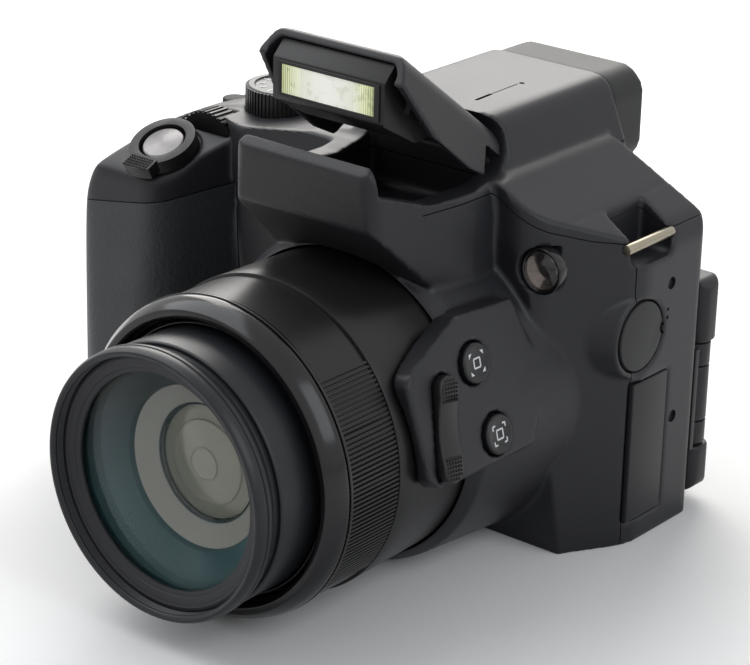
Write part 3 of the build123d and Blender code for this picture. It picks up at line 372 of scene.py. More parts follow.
def moulded(name, colour, rough, grain, size, vary=0.25, **more):
    # Fine-textured moulded plastic: a dense grain of that depth and size in mm, uneven gloss and a
    # little colour drift
    paint = Paint(name)
    fine = paint.noise(1 / (size * mm), 2, 0.7)
    broad = paint.noise(mouldForm["drift"], 3, 0.55)
    hue = paint.blend(broad, tone(colour, 1 - vary), tone(colour, 1 + vary))
    gloss = rough - mouldForm["lessRough"] + fine * mouldForm["fineGloss"] + broad * mouldForm["broadGloss"]
    finish = {"Specular_IOR_Level": mouldForm["specular"], **more}
    return paint.set(Base_Color=hue, Roughness=gloss, Normal=paint.bump(fine, grain), **finish)


# Moulded finishes: colour, roughness, depth and size of the grain
bodyPlastic = moulded("bodyPlastic", (0.0150, 0.0153, 0.0188), 0.40, 0.014, 0.22)
grainyPlastic = moulded("grainyPlastic", (0.0155, 0.0155, 0.0180), 0.42, 0.07, 0.42)
rearPlastic = moulded("rearPlastic", (0.0125, 0.0127, 0.0150), 0.44, 0.016, 0.24)
barrelPlastic = moulded("barrelPlastic", (0.0105, 0.0102, 0.0110), 0.34, 0.006, 0.18)
frontBlack = moulded("frontBlack", (0.0135, 0.0146, 0.0175), 0.35, 0.006, 0.2)
faceBlack = moulded("faceBlack", (0.022, 0.0228, 0.0265), 0.5, 0.014, 0.2)
darkPlastic = moulded("darkPlastic", (0.008, 0.008, 0.0085), 0.42, 0.012, 0.25)
# A darker, duller plastic, used as painted shade on the front dial's flat ends, and also used for the power
# button
wellShadePlastic = moulded("wellShadePlastic", (0.006, 0.006, 0.0065), 0.5, 0.012, 0.3, Specular_IOR_Level=0.12)
glossBlack = moulded("glossBlack", (0.006, 0.006, 0.0075), 0.16, 0.0, 0.3, Specular_IOR_Level=0.4)
buttonPlastic = moulded("buttonPlastic", (0.008, 0.0085, 0.010), 0.28, 0.003, 0.3, Specular_IOR_Level=0.36)
dialPlastic = moulded("dialPlastic", (0.014, 0.014, 0.015), 0.34, 0.01, 0.22)
softRubber = moulded("softRubber", (0.018, 0.0185, 0.0195), 0.52, 0.02, 0.35)
whitePrint = moulded("whitePrint", (0.82, 0.83, 0.84), 0.5, 0.004, 0.2, 0.05)
chassisAlloy = moulded("chassisAlloy", (0.42, 0.43, 0.45), 0.38, 0.01, 0.5, 0.1, Metallic=1.0)
batteryWrap = moulded("batteryWrap", (0.045, 0.046, 0.05), 0.45, 0.01, 0.4)
cardPlastic = moulded("cardPlastic", (0.03, 0.05, 0.11), 0.4, 0.008, 0.3)
sensorSilicon = moulded("sensorSilicon", (0.05, 0.045, 0.075), 0.12, 0.0, 0.3, 0.3)
strapSteel = moulded("strapSteel", (0.30, 0.275, 0.21), 0.3, 0.0, 0.3, 0.1, Metallic=1.0)
mirrorFoil = moulded("mirrorFoil", (0.9, 0.9, 0.86), 0.12, 0.01, 1.2, 0.05, Metallic=1.0)
screenPanel = moulded("screenPanel", (0.006, 0.006, 0.008), 0.1, 0.0, 0.3, Coat_Weight=0.6)
ringGrey = moulded("ringGrey", (0.25, 0.237, 0.214), 0.4, 0.0, 0.3, 0.1)
olive = moulded("oliveGlass", (0.285, 0.275, 0.238), 0.2, 0.0, 0.3, 0.1)
rockerPlastic = moulded("rockerPlastic", (0.010, 0.010, 0.0115), 0.36, 0.02, 0.25)

rubberLook = {"colour": (0.024, 0.0262, 0.0305), "rough": 0.52, "grain": 0.09, "size": 0.75, "specular": 0.5,
              "fine": 2600, "drift": 90, "dark": 0.72, "bright": 1.35}


def rubberFinish():
    # Soft grip skin with a leathery grain of low, rounded cells
    paint = Paint("gripRubber")
    cells = paint.node("ShaderNodeTexVoronoi", {"feature": "SMOOTH_F1"},
                       {"Vector": paint.spot, "Scale": 1 / (rubberLook["size"] * mm)})
    fine = paint.noise(rubberLook["fine"], 2)
    broad = paint.noise(rubberLook["drift"], 3)
    colour = rubberLook["colour"]
    hue = paint.blend(broad, tone(colour, rubberLook["dark"]), tone(colour, rubberLook["bright"]))
    return paint.set(Base_Color=hue, Roughness=rubberLook["rough"] + fine * 0.1 - broad * 0.08,
                     Specular_IOR_Level=rubberLook["specular"],
                     Normal=paint.bump(cells + fine * 0.35, rubberLook["grain"]))


def glassFinish(name, tint, spec, ior=1.5):
    # Coated optical glass: clear, with the coating's colour in what it reflects
    paint = Paint(name)
    haze = paint.blend(paint.noise(120, 2), tone(tint, 0.97), tone(tint, 1.0))
    return paint.set(Base_Color=haze, Roughness=0.0, IOR=ior, Transmission_Weight=1.0,
                     Specular_Tint=spec + (1,))


turnedLook = {"colour": (0.16, 0.155, 0.155), "rough": 0.26, "pitch": 0.16, "depth": 0.008, "drift": 500}


def turnedFinish(middle):
    # Turned metal: fine rings round a centre, as a lathe leaves them
    paint = Paint("turnedMetal")
    gap = paint.node("ShaderNodeVectorMath", {"operation": "SUBTRACT"}, {0: paint.spot, 1: middle})
    reach = paint.node("ShaderNodeVectorMath", {"operation": "LENGTH"}, {0: gap}, "Value")
    rings = paint.waves(reach, turnedLook["pitch"])
    drift = paint.noise(turnedLook["drift"], 2)
    hue = paint.blend(drift, tone(turnedLook["colour"], 0.85), tone(turnedLook["colour"], 1.2))
    return paint.set(Base_Color=hue, Metallic=1.0, Roughness=turnedLook["rough"] + drift * 0.06,
                     Normal=paint.bump(rings, turnedLook["depth"]))


def steelFinish():
    paint = Paint("brightSteel")
    streak = paint.noise(1500, 2)
    return paint.set(Base_Color=paint.blend(streak, grey(0.55, 0.02), grey(0.68, 0.02)), Metallic=1.0,
                     Roughness=0.2 + streak * 0.12)


# Painted glow and shade on the flash window: colours from its middle to its edge, and the shade colour of its
# lines and blotches
windowPaintedGlow = {"reach": 11.7, "pitch": 0.56, "paintedShadeBlotch": 420, "shade": (0.20, 0.22, 0.12, 1),
              "stops": [(0.0, (0.96, 0.97, 0.90, 1)), (0.55, (0.92, 0.94, 0.80, 1)),
                        (0.82, (0.82, 0.85, 0.56, 1)), (1.0, (0.66, 0.70, 0.36, 1))]}


def paintedGlowWindow():
    # Frosted flash window with painted light from behind: a painted glow, warm white in the middle fading to
    # a pale green painted shade at the edge, with upright lines and soft blotches of painted shade from the
    # lamp behind
    paint = Paint("flashWindowPaintedGlow")
    x = paint.axis("X")
    away = paint.node("ShaderNodeMath", {"operation": "ABSOLUTE"}, {0: x}) / (windowPaintedGlow["reach"] * mm)
    paintedShadeBlotch = paint.noise(windowPaintedGlow["paintedShadeBlotch"], 3)
    lines = (paint.waves(x, windowPaintedGlow["pitch"]) > 0.1) * (away * 0.75 - 0.18)
    body = paint.ramp(away, windowPaintedGlow["stops"])
    hue = paint.blend((paintedShadeBlotch > 0.58) * 0.2 + lines, body, windowPaintedGlow["shade"])
    # The emission paints a glow on the window, though the flash is not firing
    return paint.set(Base_Color=hue, Roughness=0.16, Emission_Color=hue, Emission_Strength=0.35,
                     Coat_Weight=0.3)


def boardFinish():
    # Circuit board: green fields with copper-coloured lines between them
    paint = Paint("boardLaminate")
    tracks = paint.node("ShaderNodeTexBrick", {}, {"Vector": paint.spot, "Scale": 300.0,
                                                   "Color1": (0.02, 0.13, 0.06, 1),
                                                   "Color2": (0.03, 0.17, 0.08, 1),
                                                   "Mortar": (0.3, 0.24, 0.1, 1)})
    return paint.set(Base_Color=tracks, Roughness=0.35, Normal=paint.bump(paint.noise(1200), 0.02))


# Painted reflection on the lens cell wall: teal low down, brown-black painted shade higher up
cellPaintedReflection = {"low": 10, "rise": 22, "stops": [(0.0, (0.022, 0.062, 0.070, 1)), (0.5, (0.018, 0.040, 0.045, 1)),
                                             (1.0, (0.022, 0.020, 0.019, 1))]}


def paintedReflectionCell():
    # The wall behind the front glass, with a painted reflection by height: brown-black painted shade above,
    # and the coating's teal as a painted reflection below
    paint = Paint("cellWallPaintedReflection")
    rise = (paint.axis("Z") / mm - (lensZ - cellPaintedReflection["low"])) / cellPaintedReflection["rise"]
    hue = paint.ramp(rise, cellPaintedReflection["stops"])
    return paint.set(Base_Color=hue, Roughness=0.34 + paint.noise(80, 2) * 0.08, Specular_IOR_Level=0.2)


gripRubber = rubberFinish()
frontGlass = glassFinish("frontGlass", (0.96, 0.975, 0.97), (0.30, 0.60, 0.66), 1.2)
innerGlass = glassFinish("innerGlass", (0.96, 0.95, 0.91), (1.0, 0.96, 0.88), 1.3)
lampGlass = glassFinish("lampGlass", (0.40, 0.37, 0.36), (1, 1, 1), 1.45)
eyeGlass = glassFinish("eyeGlass", (0.8, 0.85, 0.9), (0.7, 0.7, 1.0))
tubeGlass = glassFinish("tubeGlass", (0.97, 0.97, 0.95), (1, 1, 1))
brightSteel = steelFinish()
flashWindowGlow = paintedGlowWindow()
boardLaminate = boardFinish()
cellWallPaintedReflection = paintedReflectionCell()
print("finishes ready")

# The moulded covers: one soft form made from the solids, then parted along its seams
bodyForm = {"voxel": 0.5, "soften": 7, "share": 0.42, "seam": 0.24, "frontSplit": 13.2,
            "past": {"x": 100, "ahead": 80, "low": -10, "high": 120},
            "topSeam": [(-90, 54.5), (-57, 60.5), (-46, 64.5), (-21, 78), (21, 78), (37.2, 68.5), (60, 60.1)],
            "topAhead": 70, "topDepth": 150, "browHalf": 24.5, "browBack": 28, "browLow": 40, "browHigh": 130}
gripForm = {"soften": 90, "wheel": (-57.4, 68.2), "wheelAhead": 2, "wheelKeep": 12.5, "inner": -47.0,
            "foot": 6, "behind": -14}
skinForm = {"right": -48.2, "behind": 21.8, "low": 3.2, "ahead": 60, "high": 80}
grainForm = {"ahead": 26, "low": 64, "half": 27}
deck = {"x": -62.0, "ahead": 13.2, "low": 65.5, "rise": 12.0, "run": 24.5, "edge": 21.5}
deckTilt = math.atan2(deck["rise"], deck["run"])
deckUp = Vector((0, -math.sin(deckTilt), math.cos(deckTilt)))
deckSpot = place(deck["x"], deck["ahead"],
                 deck["low"] + deck["rise"] * (deck["edge"] - deck["ahead"]) / deck["run"])
plateOut = onPlate(1, 0, 0) - onPlate(0, 0, 0)
plateOut.normalize()
seekSpot, lockSpot = (26.9, 8.9), (23.5, -6.6)         # (ahead, up) on the side plate
lampSpot = (32.0, 63.6)                                # (x, z) of the focus lamp
capSpot = (-15.5, 46.5)                                # (ahead, z) of the jack cap
powerSpot = (-63.0, -10)                               # (x, ahead) of the power button


def gripShare(spot):
    # How far a point of the covers is on the grip, away from the front dial's slot
    x, ahead, z = spot.x / mm, frontY - spot.y / mm, spot.z / mm
    wheelX, wheelZ = gripForm["wheel"]
    away = math.hypot(x - wheelX, (z - wheelZ) * 0.8, (ahead - gripForm["wheelAhead"]) * 1.1)
    return max(0.0, min((gripForm["inner"] - x) / 5, (z - gripForm["foot"]) / 6,
                        (ahead - gripForm["behind"]) / 8, (away - gripForm["wheelKeep"]) / 4, 1.0))


def softened(name, voxel, rounds, share, *nodes):
    piece = merged(name, *nodes)
    modify(piece, "REMESH", mode="VOXEL", voxel_size=voxel * mm, adaptivity=0.0)
    soften(piece, rounds)
    if name == "shell":
        group = piece.vertex_groups.new(name="grip")
        for vertex in piece.data.vertices:
            weight = gripShare(vertex.co)
            if weight > 0:
                group.add([vertex.index], weight, "REPLACE")
        soften(piece, gripForm["soften"], vertex_group="grip")
    modify(piece, "DECIMATE", decimate_type="COLLAPSE", ratio=share)
    print(name, len(piece.data.polygons), "faces")
    return piece


def groove(start, end, width, depth):
    # A straight upright cutter bar that leaves a fine line in the covers
    rise = Vector((0, 0, 1))
    side = (end - start).normalized().cross(rise).normalized() * width / 2 * mm
    drop = rise * depth * mm
    over = rise * 3 * mm
    return prism("cutter", [start - side - drop, start + side - drop, start + side + over,
                            start - side + over], end - start)


def topRegion(name, drop):
    # Everything over the slanted top seam, lowered or raised by half the seam
    seam = [(x, z + drop) for x, z in bodyForm["topSeam"]]
    high = bodyForm["past"]["high"]
    outline = seam + [(seam[-1][0], high), (seam[0][0], high)]
    region = prism(name, [place(x, bodyForm["topAhead"], z) for x, z in outline],
                   Vector((0, bodyForm["topDepth"] * mm, 0)))
    half = bodyForm["browHalf"]
    brow = block("brow", place(-half, bodyForm["past"]["ahead"], bodyForm["browLow"]),
                 place(half, bodyForm["browBack"], bodyForm["browHigh"]))
    return combine(region, brow)


def slab(name, back, front):
    # All of the body between two distances ahead
    past = bodyForm["past"]
    return block(name, place(-past["x"], back, past["low"]), place(past["x"], front, past["high"]))


def skinBlock(name, edge):
    # The room of the grip skin, grown by edge on the sides that meet the covers
    return block(name, place(-bodyForm["past"]["x"], skinForm["ahead"], skinForm["low"] - edge),
                 place(skinForm["right"] + edge, -skinForm["behind"] - edge, skinForm["high"]))


shell = softened("shell", bodyForm["voxel"], bodyForm["soften"], bodyForm["share"],
                 "front_cover", "top_cover", "rear_cover", "grip_skin")
holes = {
    "lensBore": (place(0, 60, lensZ), place(0, -4, lensZ), 32.85),
    "lensMouth": (place(0, 60, lensZ), place(0, 28.0, lensZ), 33.35),
    "leverWell": (deckSpot - deckUp * 0.9 * mm, deckSpot + deckUp * 8 * mm, 7.75),
    "seekHole": (onPlate(32.0, *seekSpot), onPlate(40, *seekSpot), 4.35),
    "lockHole": (onPlate(32.0, *lockSpot), onPlate(40, *lockSpot), 4.35),
    "lampHole": (place(lampSpot[0], 12, lampSpot[1]), place(lampSpot[0], 1.2, lampSpot[1]), 4.95),
    "capHole": (place(40.7, *capSpot), place(50, *capSpot), 7.65),
    "powerHole": (place(*powerSpot, 71.5), place(*powerSpot, 84), 2.85)}
for name, (start, end, radius) in holes.items():
    combine(shell, cylinder(name, start, end, radius, 128))

# A short slot, a fine line and a dimple in the hump's top
humpTop = 91.0
humpLines = (((6.3, -5.4), (6.05, -10.8), 0.8, 0.9), ((6.05, -10.6), (5.7, -20.4), 0.3, 0.5))
dimple = {"spot": (6.0, -21.4), "low": 90.2, "high": 93, "radius": 0.3, "mouth": 1.4}
for start, end, width, depth in humpLines:
    combine(shell, groove(place(*start, humpTop), place(*end, humpTop), width, depth))
combine(shell, cylinder("dimple", place(*dimple["spot"], dimple["low"]),
                        place(*dimple["spot"], dimple["high"]), dimple["radius"], 24, dimple["mouth"]))

# Screw holes and microphone holes on the hinge side: ahead, height, depth, radius
sideFace = 43.2
sideHoles = ((-25.1, 55.5, 0.7, 1.35), (-28.6, 24.8, 0.7, 1.35), (-24.3, 50.0, 1.4, 0.4),
             (-24.3, 48.2, 1.4, 0.4), (-23.1, 47.0, 1.4, 0.4), (-23.1, 45.2, 1.4, 0.4))
for ahead, z, depth, radius in sideHoles:
    combine(shell, cylinder("sideHole", place(sideFace - depth, ahead, z), place(sideFace + 2, ahead, z),
                            radius, 24))

gap = bodyForm["seam"] / 2
split = bodyForm["frontSplit"]
top = topRegion("topRegion", gap)
below = topRegion("belowRegion", -gap)
topCover = combine(twin(shell, "topCover"), top, "INTERSECT")
lower = combine(shell, below)
rearHalf = slab("rearHalf", -split - gap, -bodyForm["past"]["ahead"])
foreHalf = slab("foreHalf", -split + gap, bodyForm["past"]["ahead"])
skinRoom = skinBlock("skinBlock", -gap)
skinKeep = skinBlock("skinKeep", gap)
gripSkin = combine(twin(lower, "gripSkin"), skinRoom, "INTERSECT")
combine(lower, skinKeep)
rearCover = combine(twin(lower, "rearCover"), rearHalf, "INTERSECT")
frontCover = combine(lower, foreHalf, "INTERSECT")
frontCover.name = "frontCover"
for piece, node, material, slotName in (
        (frontCover, "front_cover", bodyPlastic, "body_plastic"),
        (topCover, "top_cover", bodyPlastic, "body_plastic"),
        (rearCover, "rear_cover", bodyPlastic, "body_plastic"),
        (gripSkin, "grip_skin", gripRubber, "grip_rubber")):
    smooth(piece, 38)
    carry(piece, material, slotName, node)
    print(piece.name, len(piece.data.polygons), "faces")
frontCover.data.materials.append(grainyPlastic)        # the brow has a coarser grain
for face in frontCover.data.polygons:
    x, y, z = face.center / mm
    if y < frontY - grainForm["ahead"] and z > grainForm["low"] and abs(x) < grainForm["half"]:
        face.material_index = 1

# Pop-up flash: its panels are half a width, low and high, and how far they stand ahead of and behind the face
flashForm = {"voxel": 0.3, "soften": 5, "share": 0.5, "face": 33.8, "bezel": (12.9, 96.6, 104.1, 0.35, 0.4),
             "opening": (11.6, 97.5, 103.4, 2, 2), "pane": (11.5, 97.55, 103.35, 0.15, 1.0),
             "flutes": 9, "fluteStep": 0.52, "fluteStart": 11.2, "fluteAhead": 0.12, "fluteLow": 97.7,
             "fluteHigh": 103.2, "fluteRadius": 0.24}
armScrew = {"x": 15.1, "ahead": 22.5, "up": 97.2, "radius": 1.1, "foot": -0.4, "top": 0.45,
            "socketFoot": 0.2, "socketTop": 1, "socketRadius": 0.5}


def flashPanel(name, half, low, high, ahead, behind):
    face = flashForm["face"]
    return block(name, place(-half, face + ahead, low), place(half, face - behind, high))


def onArm(side, out):
    return place(side * (armScrew["x"] + out), armScrew["ahead"], armScrew["up"])


lid = softened("flashLid", flashForm["voxel"], flashForm["soften"], flashForm["share"], "flash_lid")
carry(smooth(lid, 40), grainyPlastic, "body_plastic", "flash_lid")
head = eased("flashHead", "flash_head", 0.35)
carry(head, darkPlastic, "dark_plastic", "flash_head")
bezelFrame = flashPanel("flashBezel", *flashForm["bezel"])
combine(bezelFrame, flashPanel("opening", *flashForm["opening"]))
bevel(bezelFrame, 0.15)
carry(smooth(bezelFrame), darkPlastic, "dark_plastic", body="flash")
pane = flashPanel("flashWindow", *flashForm["pane"])
flutes = []
for side in (-1, 1):
    for i in range(flashForm["flutes"]):
        x = side * (flashForm["fluteStart"] - i * flashForm["fluteStep"])
        ahead = flashForm["face"] + flashForm["fluteAhead"]
        flutes.append(cylinder("flute", place(x, ahead, flashForm["fluteLow"]),
                               place(x, ahead, flashForm["fluteHigh"]), flashForm["fluteRadius"], 8))
carry(smooth(join("flashWindow", pane, *flutes)), flashWindowGlow, "window_plastic", "flash_window")
for side, name in ((-1, "armScrewGripSide"), (1, "armScrewHingeSide")):
    # A small screw with a six-sided socket on each arm
    screw = cylinder("armScrew", onArm(side, armScrew["foot"]), onArm(side, armScrew["top"]),
                     armScrew["radius"], 32)
    combine(screw, cylinder("socket", onArm(side, armScrew["socketFoot"]), onArm(side, armScrew["socketTop"]),
                            armScrew["socketRadius"], 6))
    bevel(screw, 0.12)
    screw.name = name
    carry(smooth(screw), brightSteel, "steel", body="flash")
print("flash ready")

# Lens: every outline is (radius, ahead)
lensForm = {"steps": 180, "cellSteps": 144, "innerSteps": 120, "threads": 5, "threadStart": 83.0,
            "threadPitch": 0.44, "threadInner": 25.52, "threadOuter": 25.86}
frontDome = {"radius": 23.65, "top": 81.75, "drop": 2.72, "steps": 14}
innerDome = {"radius": 11.6, "top": 69.6, "drop": 1.9, "steps": 10, "thickness": 0.7}


def domed(form):
    # The outline of a dome's front, from its middle to its edge
    rounds = (i / form["steps"] for i in range(1, form["steps"] + 1))
    return [(0, form["top"])] + [(form["radius"] * t, form["top"] - form["drop"] * t * t) for t in rounds]


def under(radius, drop):
    # A point that far behind the inner glass's front
    return radius, innerDome["top"] - innerDome["drop"] * (radius / innerDome["radius"]) ** 2 - drop


threads = []
for i in range(lensForm["threads"]):
    ahead = lensForm["threadStart"] - i * lensForm["threadPitch"]
    threads += [(lensForm["threadInner"], ahead),
                (lensForm["threadOuter"], ahead - lensForm["threadPitch"] / 2)]
outlines = {
    "lensBase": [(30.7, -5.0), (32.2, -5.0), (32.2, -3.0), (31.3, -3.0), (31.3, 20.0), (32.1, 20.0),
                 (32.68, 45.0), (32.8, 49.55), (31.4, 49.6), (31.4, 63.9), (30.7, 63.9)],
    "ringEdge": [(31.5, 63.2), (32.62, 63.2), (32.72, 63.5), (32.72, 63.86), (32.45, 63.98), (31.5, 63.98)],
    "bezelRing": [(28.15, 64.15), (32.35, 64.15), (32.62, 64.45), (32.6, 65.0), (32.05, 66.9), (30.75, 68.75),
                  (30.45, 68.88), (29.4, 68.9), (28.9, 68.5), (28.15, 66.4)],
    "camBarrel": [(28.25, -4), (30.25, -4), (30.25, 61.4), (28.25, 61.4)],
    "middleBarrel": [(27.25, 24.2), (27.8, 24.2), (27.8, 65.6), (27.6, 66.15), (27.25, 66.15)],
    "frontBarrel": [(25.45, 31.0), (26.9, 31.0), (26.9, 76.6), (26.65, 77.0), (25.45, 77.0)],
    "frontRing": [(24.1, 77.06), (26.15, 77.06), (26.15, 78.5), (26.6, 78.75), (27.3, 80.1), (27.38, 80.4),
                  (27.38, 81.05), (27.1, 81.15), (27.1, 81.4), (27.36, 81.5), (27.3, 82.6), (27.0, 83.35),
                  (26.75, 83.72), (26.3, 83.78), (25.9, 83.6), (25.55, 83.25)]
                 + threads + [(25.55, 80.65), (24.1, 80.65)],
    "faceRing": [(23.85, 80.62), (25.42, 80.62), (25.42, 81.3), (24.6, 81.38), (24.35, 81.2), (24.1, 81.2),
                 (22.9, 80.72), (22.75, 80.5), (22.55, 80.5), (21.85, 80.2), (21.75, 79.65), (23.85, 79.65)],
    "frontGlass": domed(frontDome) + [(23.65, 77.0), (18, 77.9), (12, 78.7), (6, 79.1), (0, 79.25)],
    "lensCell": [(25.3, 76.8), (25.3, 62.1), (14.1, 62.1), (14.1, 65.0), (11.9, 65.4), (11.9, 67.9),
                 (12.3, 68.1), (15.4, 69.4), (16.3, 70.2), (16.6, 71.4), (22.4, 76.8)],
    "cellRing": [(12.0, 67.9), (12.35, 68.22), (15.4, 69.5), (16.25, 70.3), (16.5, 70.1), (15.5, 69.2),
                 (12.4, 67.8)],
    "innerGlass": domed(innerDome) + [(radius, ahead - innerDome["thickness"])
                                      for radius, ahead in reversed(domed(innerDome))],
    "innerSeat": [under(0, 1.2), under(1.6, 1.2), under(3.0, 1.2), under(3.1, 0.95), under(3.3, 0.95),
                  under(3.45, 1.25), under(5.8, 1.2), under(8.2, 1.2), under(8.3, 0.95), under(8.55, 0.95),
                  under(8.7, 1.3), under(10, 1.25), under(11.4, 1.2), (11.4, 62.3), (0, 62.3)],
    "innerRetainer": [(11.66, 66.4), (11.95, 66.4), (11.95, 68.05), (11.85, 68.1), (11.66, 67.9)]}


def lensPiece(name, steps, width, material, slotName, *nodes, body=None):
    return carry(lathe(name, outlines[name], steps, width), material, slotName, *nodes, body=body)


steps, cellSteps, innerSteps = lensForm["steps"], lensForm["cellSteps"], lensForm["innerSteps"]
lensPiece("lensBase", steps, 0.14, barrelPlastic, "barrel_plastic", "lens_base")
ribRing = eased("ribbedRing", "ribbed_ring", 0)
carry(smooth(ribRing, 25), barrelPlastic, "barrel_plastic", "ribbed_ring")
lensPiece("ringEdge", steps, 0.06, glossBlack, "gloss_black", body="camera_body")
lensPiece("bezelRing", steps, 0.12, glossBlack, "gloss_black", "bezel_ring")
lensPiece("camBarrel", innerSteps, 0.15, barrelPlastic, "barrel_plastic", "cam_barrel")
lensPiece("middleBarrel", steps, 0.1, frontBlack, "barrel_plastic", "middle_barrel")
lensPiece("frontBarrel", steps, 0.1, frontBlack, "barrel_plastic", "front_barrel")
lensPiece("frontRing", steps, 0.05, frontBlack, "barrel_plastic", "front_ring")
lensPiece("faceRing", steps, 0.06, faceBlack, "dark_plastic", "face_ring")
smooth(lensPiece("frontGlass", steps, 0, frontGlass, "lens_glass", "front_glass"), 60)
lensPiece("lensCell", cellSteps, 0.08, cellWallPaintedReflection, "dark_plastic", "lens_cell")
lensPiece("cellRing", cellSteps, 0.05, ringGrey, "dark_plastic", body="front_group")
smooth(lensPiece("innerGlass", innerSteps, 0, innerGlass, "lens_glass", "inner_glass"), 60)
lensPiece("innerSeat", innerSteps, 0.02, olive, "dark_plastic", body="front_group")
lensPiece("innerRetainer", innerSteps, 0.05, glossBlack, "gloss_black", body="front_group")
print("lens ready")

# Shutter button and zoom lever
leverForm = {"rows": 5, "columns": 9, "pitch": 0.72, "start": 6.55, "rise": 3.0, "stud": 0.4,
             "studRadius": 0.42, "studTip": 0.12}
button = eased("shutterButton", "shutter_button", 0.22, 3)
carry(button, turnedFinish(deckSpot), "button_metal", "shutter_button")
lever = eased("zoomLever", "zoom_lever", 0.3, 3)
acrossTab = Vector((1, 0, 0))
downTab = Vector((0, -math.cos(deckTilt), -math.sin(deckTilt)))
studs = []
for row in range(leverForm["rows"]):
    for column in range(leverForm["columns"]):
        across = (column - (leverForm["columns"] - 1) / 2) * leverForm["pitch"]
        spot = (deckSpot + downTab * (leverForm["start"] + row * leverForm["pitch"]) * mm
                + acrossTab * across * mm + deckUp * leverForm["rise"] * mm)
        studs.append(cylinder("stud", spot, spot + deckUp * leverForm["stud"] * mm,
                              leverForm["studRadius"], 4, leverForm["studTip"]))
carry(smooth(join("zoomLever", lever, *studs), 30), darkPlastic, "dark_plastic", "zoom_lever")

# Front dial, mode dial and power button
wheel = eased("frontDial", "front_dial", 0)
carry(smooth(wheel, 25), dialPlastic, "dial_plastic", "front_dial")
# Painted shade: the dial's flat ends, down in shadow in the slot, get the darker, duller plastic
wheel.data.materials.append(wellShadePlastic)               # its flat ends are darker than the knurl
for face in wheel.data.polygons:
    if abs(face.normal.y) > 0.9:
        face.material_index = 1
dialForm = {"spot": (-47.5, -9.5), "low": 77.05, "high": 82.1, "radius": 9.0, "teeth": 60, "tooth": 0.3,
            "rim": 0.5, "rimRise": 0.275, "band": 1.1, "dishEdge": 0.3, "dish": 0.35,
            "ticks": 12, "tickFrom": 4.6, "tickTo": 6.2, "tickLong": 6.6, "tickHalf": 0.14, "tickLow": 81.98,
            "spindle": 2.2, "spindleLow": 72, "spindleHigh": 77.1}


def knurledDial(name, start, end):
    # A round dial with a toothed edge, a rounded top rim and a shallow dished face
    axis = (end - start).normalized()
    dial = cylinder(name, start, end, dialForm["radius"] - dialForm["tooth"], dialForm["teeth"] * 2)
    everySecond = itertools.cycle((False, True))
    choose(dial, lambda centre, normal: abs(normal.dot(axis)) <= 0.5 and next(everySecond))
    bpy.ops.mesh.extrude_faces_move(TRANSFORM_OT_shrink_fatten={"value": dialForm["tooth"] * mm})
    deselect()
    middle = dialForm["radius"] * 0.3 * mm
    choose(dial, lambda centre, normal: normal.dot(axis) > 0.9 and (centre - end).length < middle)
    bpy.ops.mesh.inset(thickness=dialForm["rim"] * mm, depth=dialForm["rimRise"] * mm)
    bpy.ops.mesh.inset(thickness=dialForm["band"] * mm, depth=0)
    bpy.ops.mesh.inset(thickness=dialForm["dishEdge"] * mm, depth=-dialForm["dish"] * mm)
    deselect()
    return smooth(dial, 25)


def onDial(z, out=0, aside=0):
    x, ahead = dialForm["spot"]
    return place(x + out, ahead + aside, z)


modeDial = knurledDial("modeDial", onDial(dialForm["low"]), onDial(dialForm["high"]))
spindle = cylinder("spindle", onDial(dialForm["spindleLow"]), onDial(dialForm["spindleHigh"]),
                   dialForm["spindle"], 32)
carry(join("modeDial", modeDial, spindle), dialPlastic, "dial_plastic", "mode_dial")
ticks = []
for i in range(dialForm["ticks"]):
    long = dialForm["tickTo"] if i % 3 else dialForm["tickLong"]
    tick = block("tick", onDial(dialForm["tickLow"], dialForm["tickFrom"], dialForm["tickHalf"]),
                 onDial(dialForm["high"], long, -dialForm["tickHalf"]))
    middle = onDial(dialForm["high"])
    turn = Matrix.Rotation(i * math.tau / dialForm["ticks"], 4, "Z")
    tick.data.transform(Matrix.Translation(middle) @ turn @ Matrix.Translation(-middle))
    ticks.append(tick)
carry(join("modeTicks", *ticks), whitePrint, "dial_plastic", body="mode_dial")
carry(eased("powerButton", "power_button", 0.4, 3), wellShadePlastic, "button_plastic", "power_button")
print("top controls ready")

# Buttons on the side plate, with their plain white marks
sideControls = {"face": 35.5, "stand": 0.9, "root": 33.4, "radius": 4.05, "edge": 0.55, "inset": 0.45,
                "dish": 0.12, "mark": 0.17, "markLift": 0.03, "square": 0.95, "corner": 1.95, "arm": 0.85,
                "arrowOut": 2.2, "arrowIn": 1.25}


def plateButton(name, node, ahead, up):
    # A round button with a rounded edge and a shallow dish, which gives back its face's reach
    face = sideControls["face"] + sideControls["stand"]
    top = onPlate(face, ahead, up)
    button = cylinder(name, onPlate(sideControls["root"], ahead, up), top, sideControls["radius"], 72)
    choose(button, lambda centre, normal: normal.dot(plateOut) > 0.9)
    bpy.ops.mesh.bevel(offset=sideControls["edge"] * mm, segments=4, affect="EDGES")
    deselect()
    choose(button, lambda centre, normal: normal.dot(plateOut) > 0.9 and (centre - top).length < 1 * mm)
    bpy.ops.mesh.inset(thickness=sideControls["inset"] * mm, depth=-sideControls["dish"] * mm)
    deselect()
    carry(smooth(button, 50), buttonPlastic, "button_plastic", node)
    return face - sideControls["dish"]


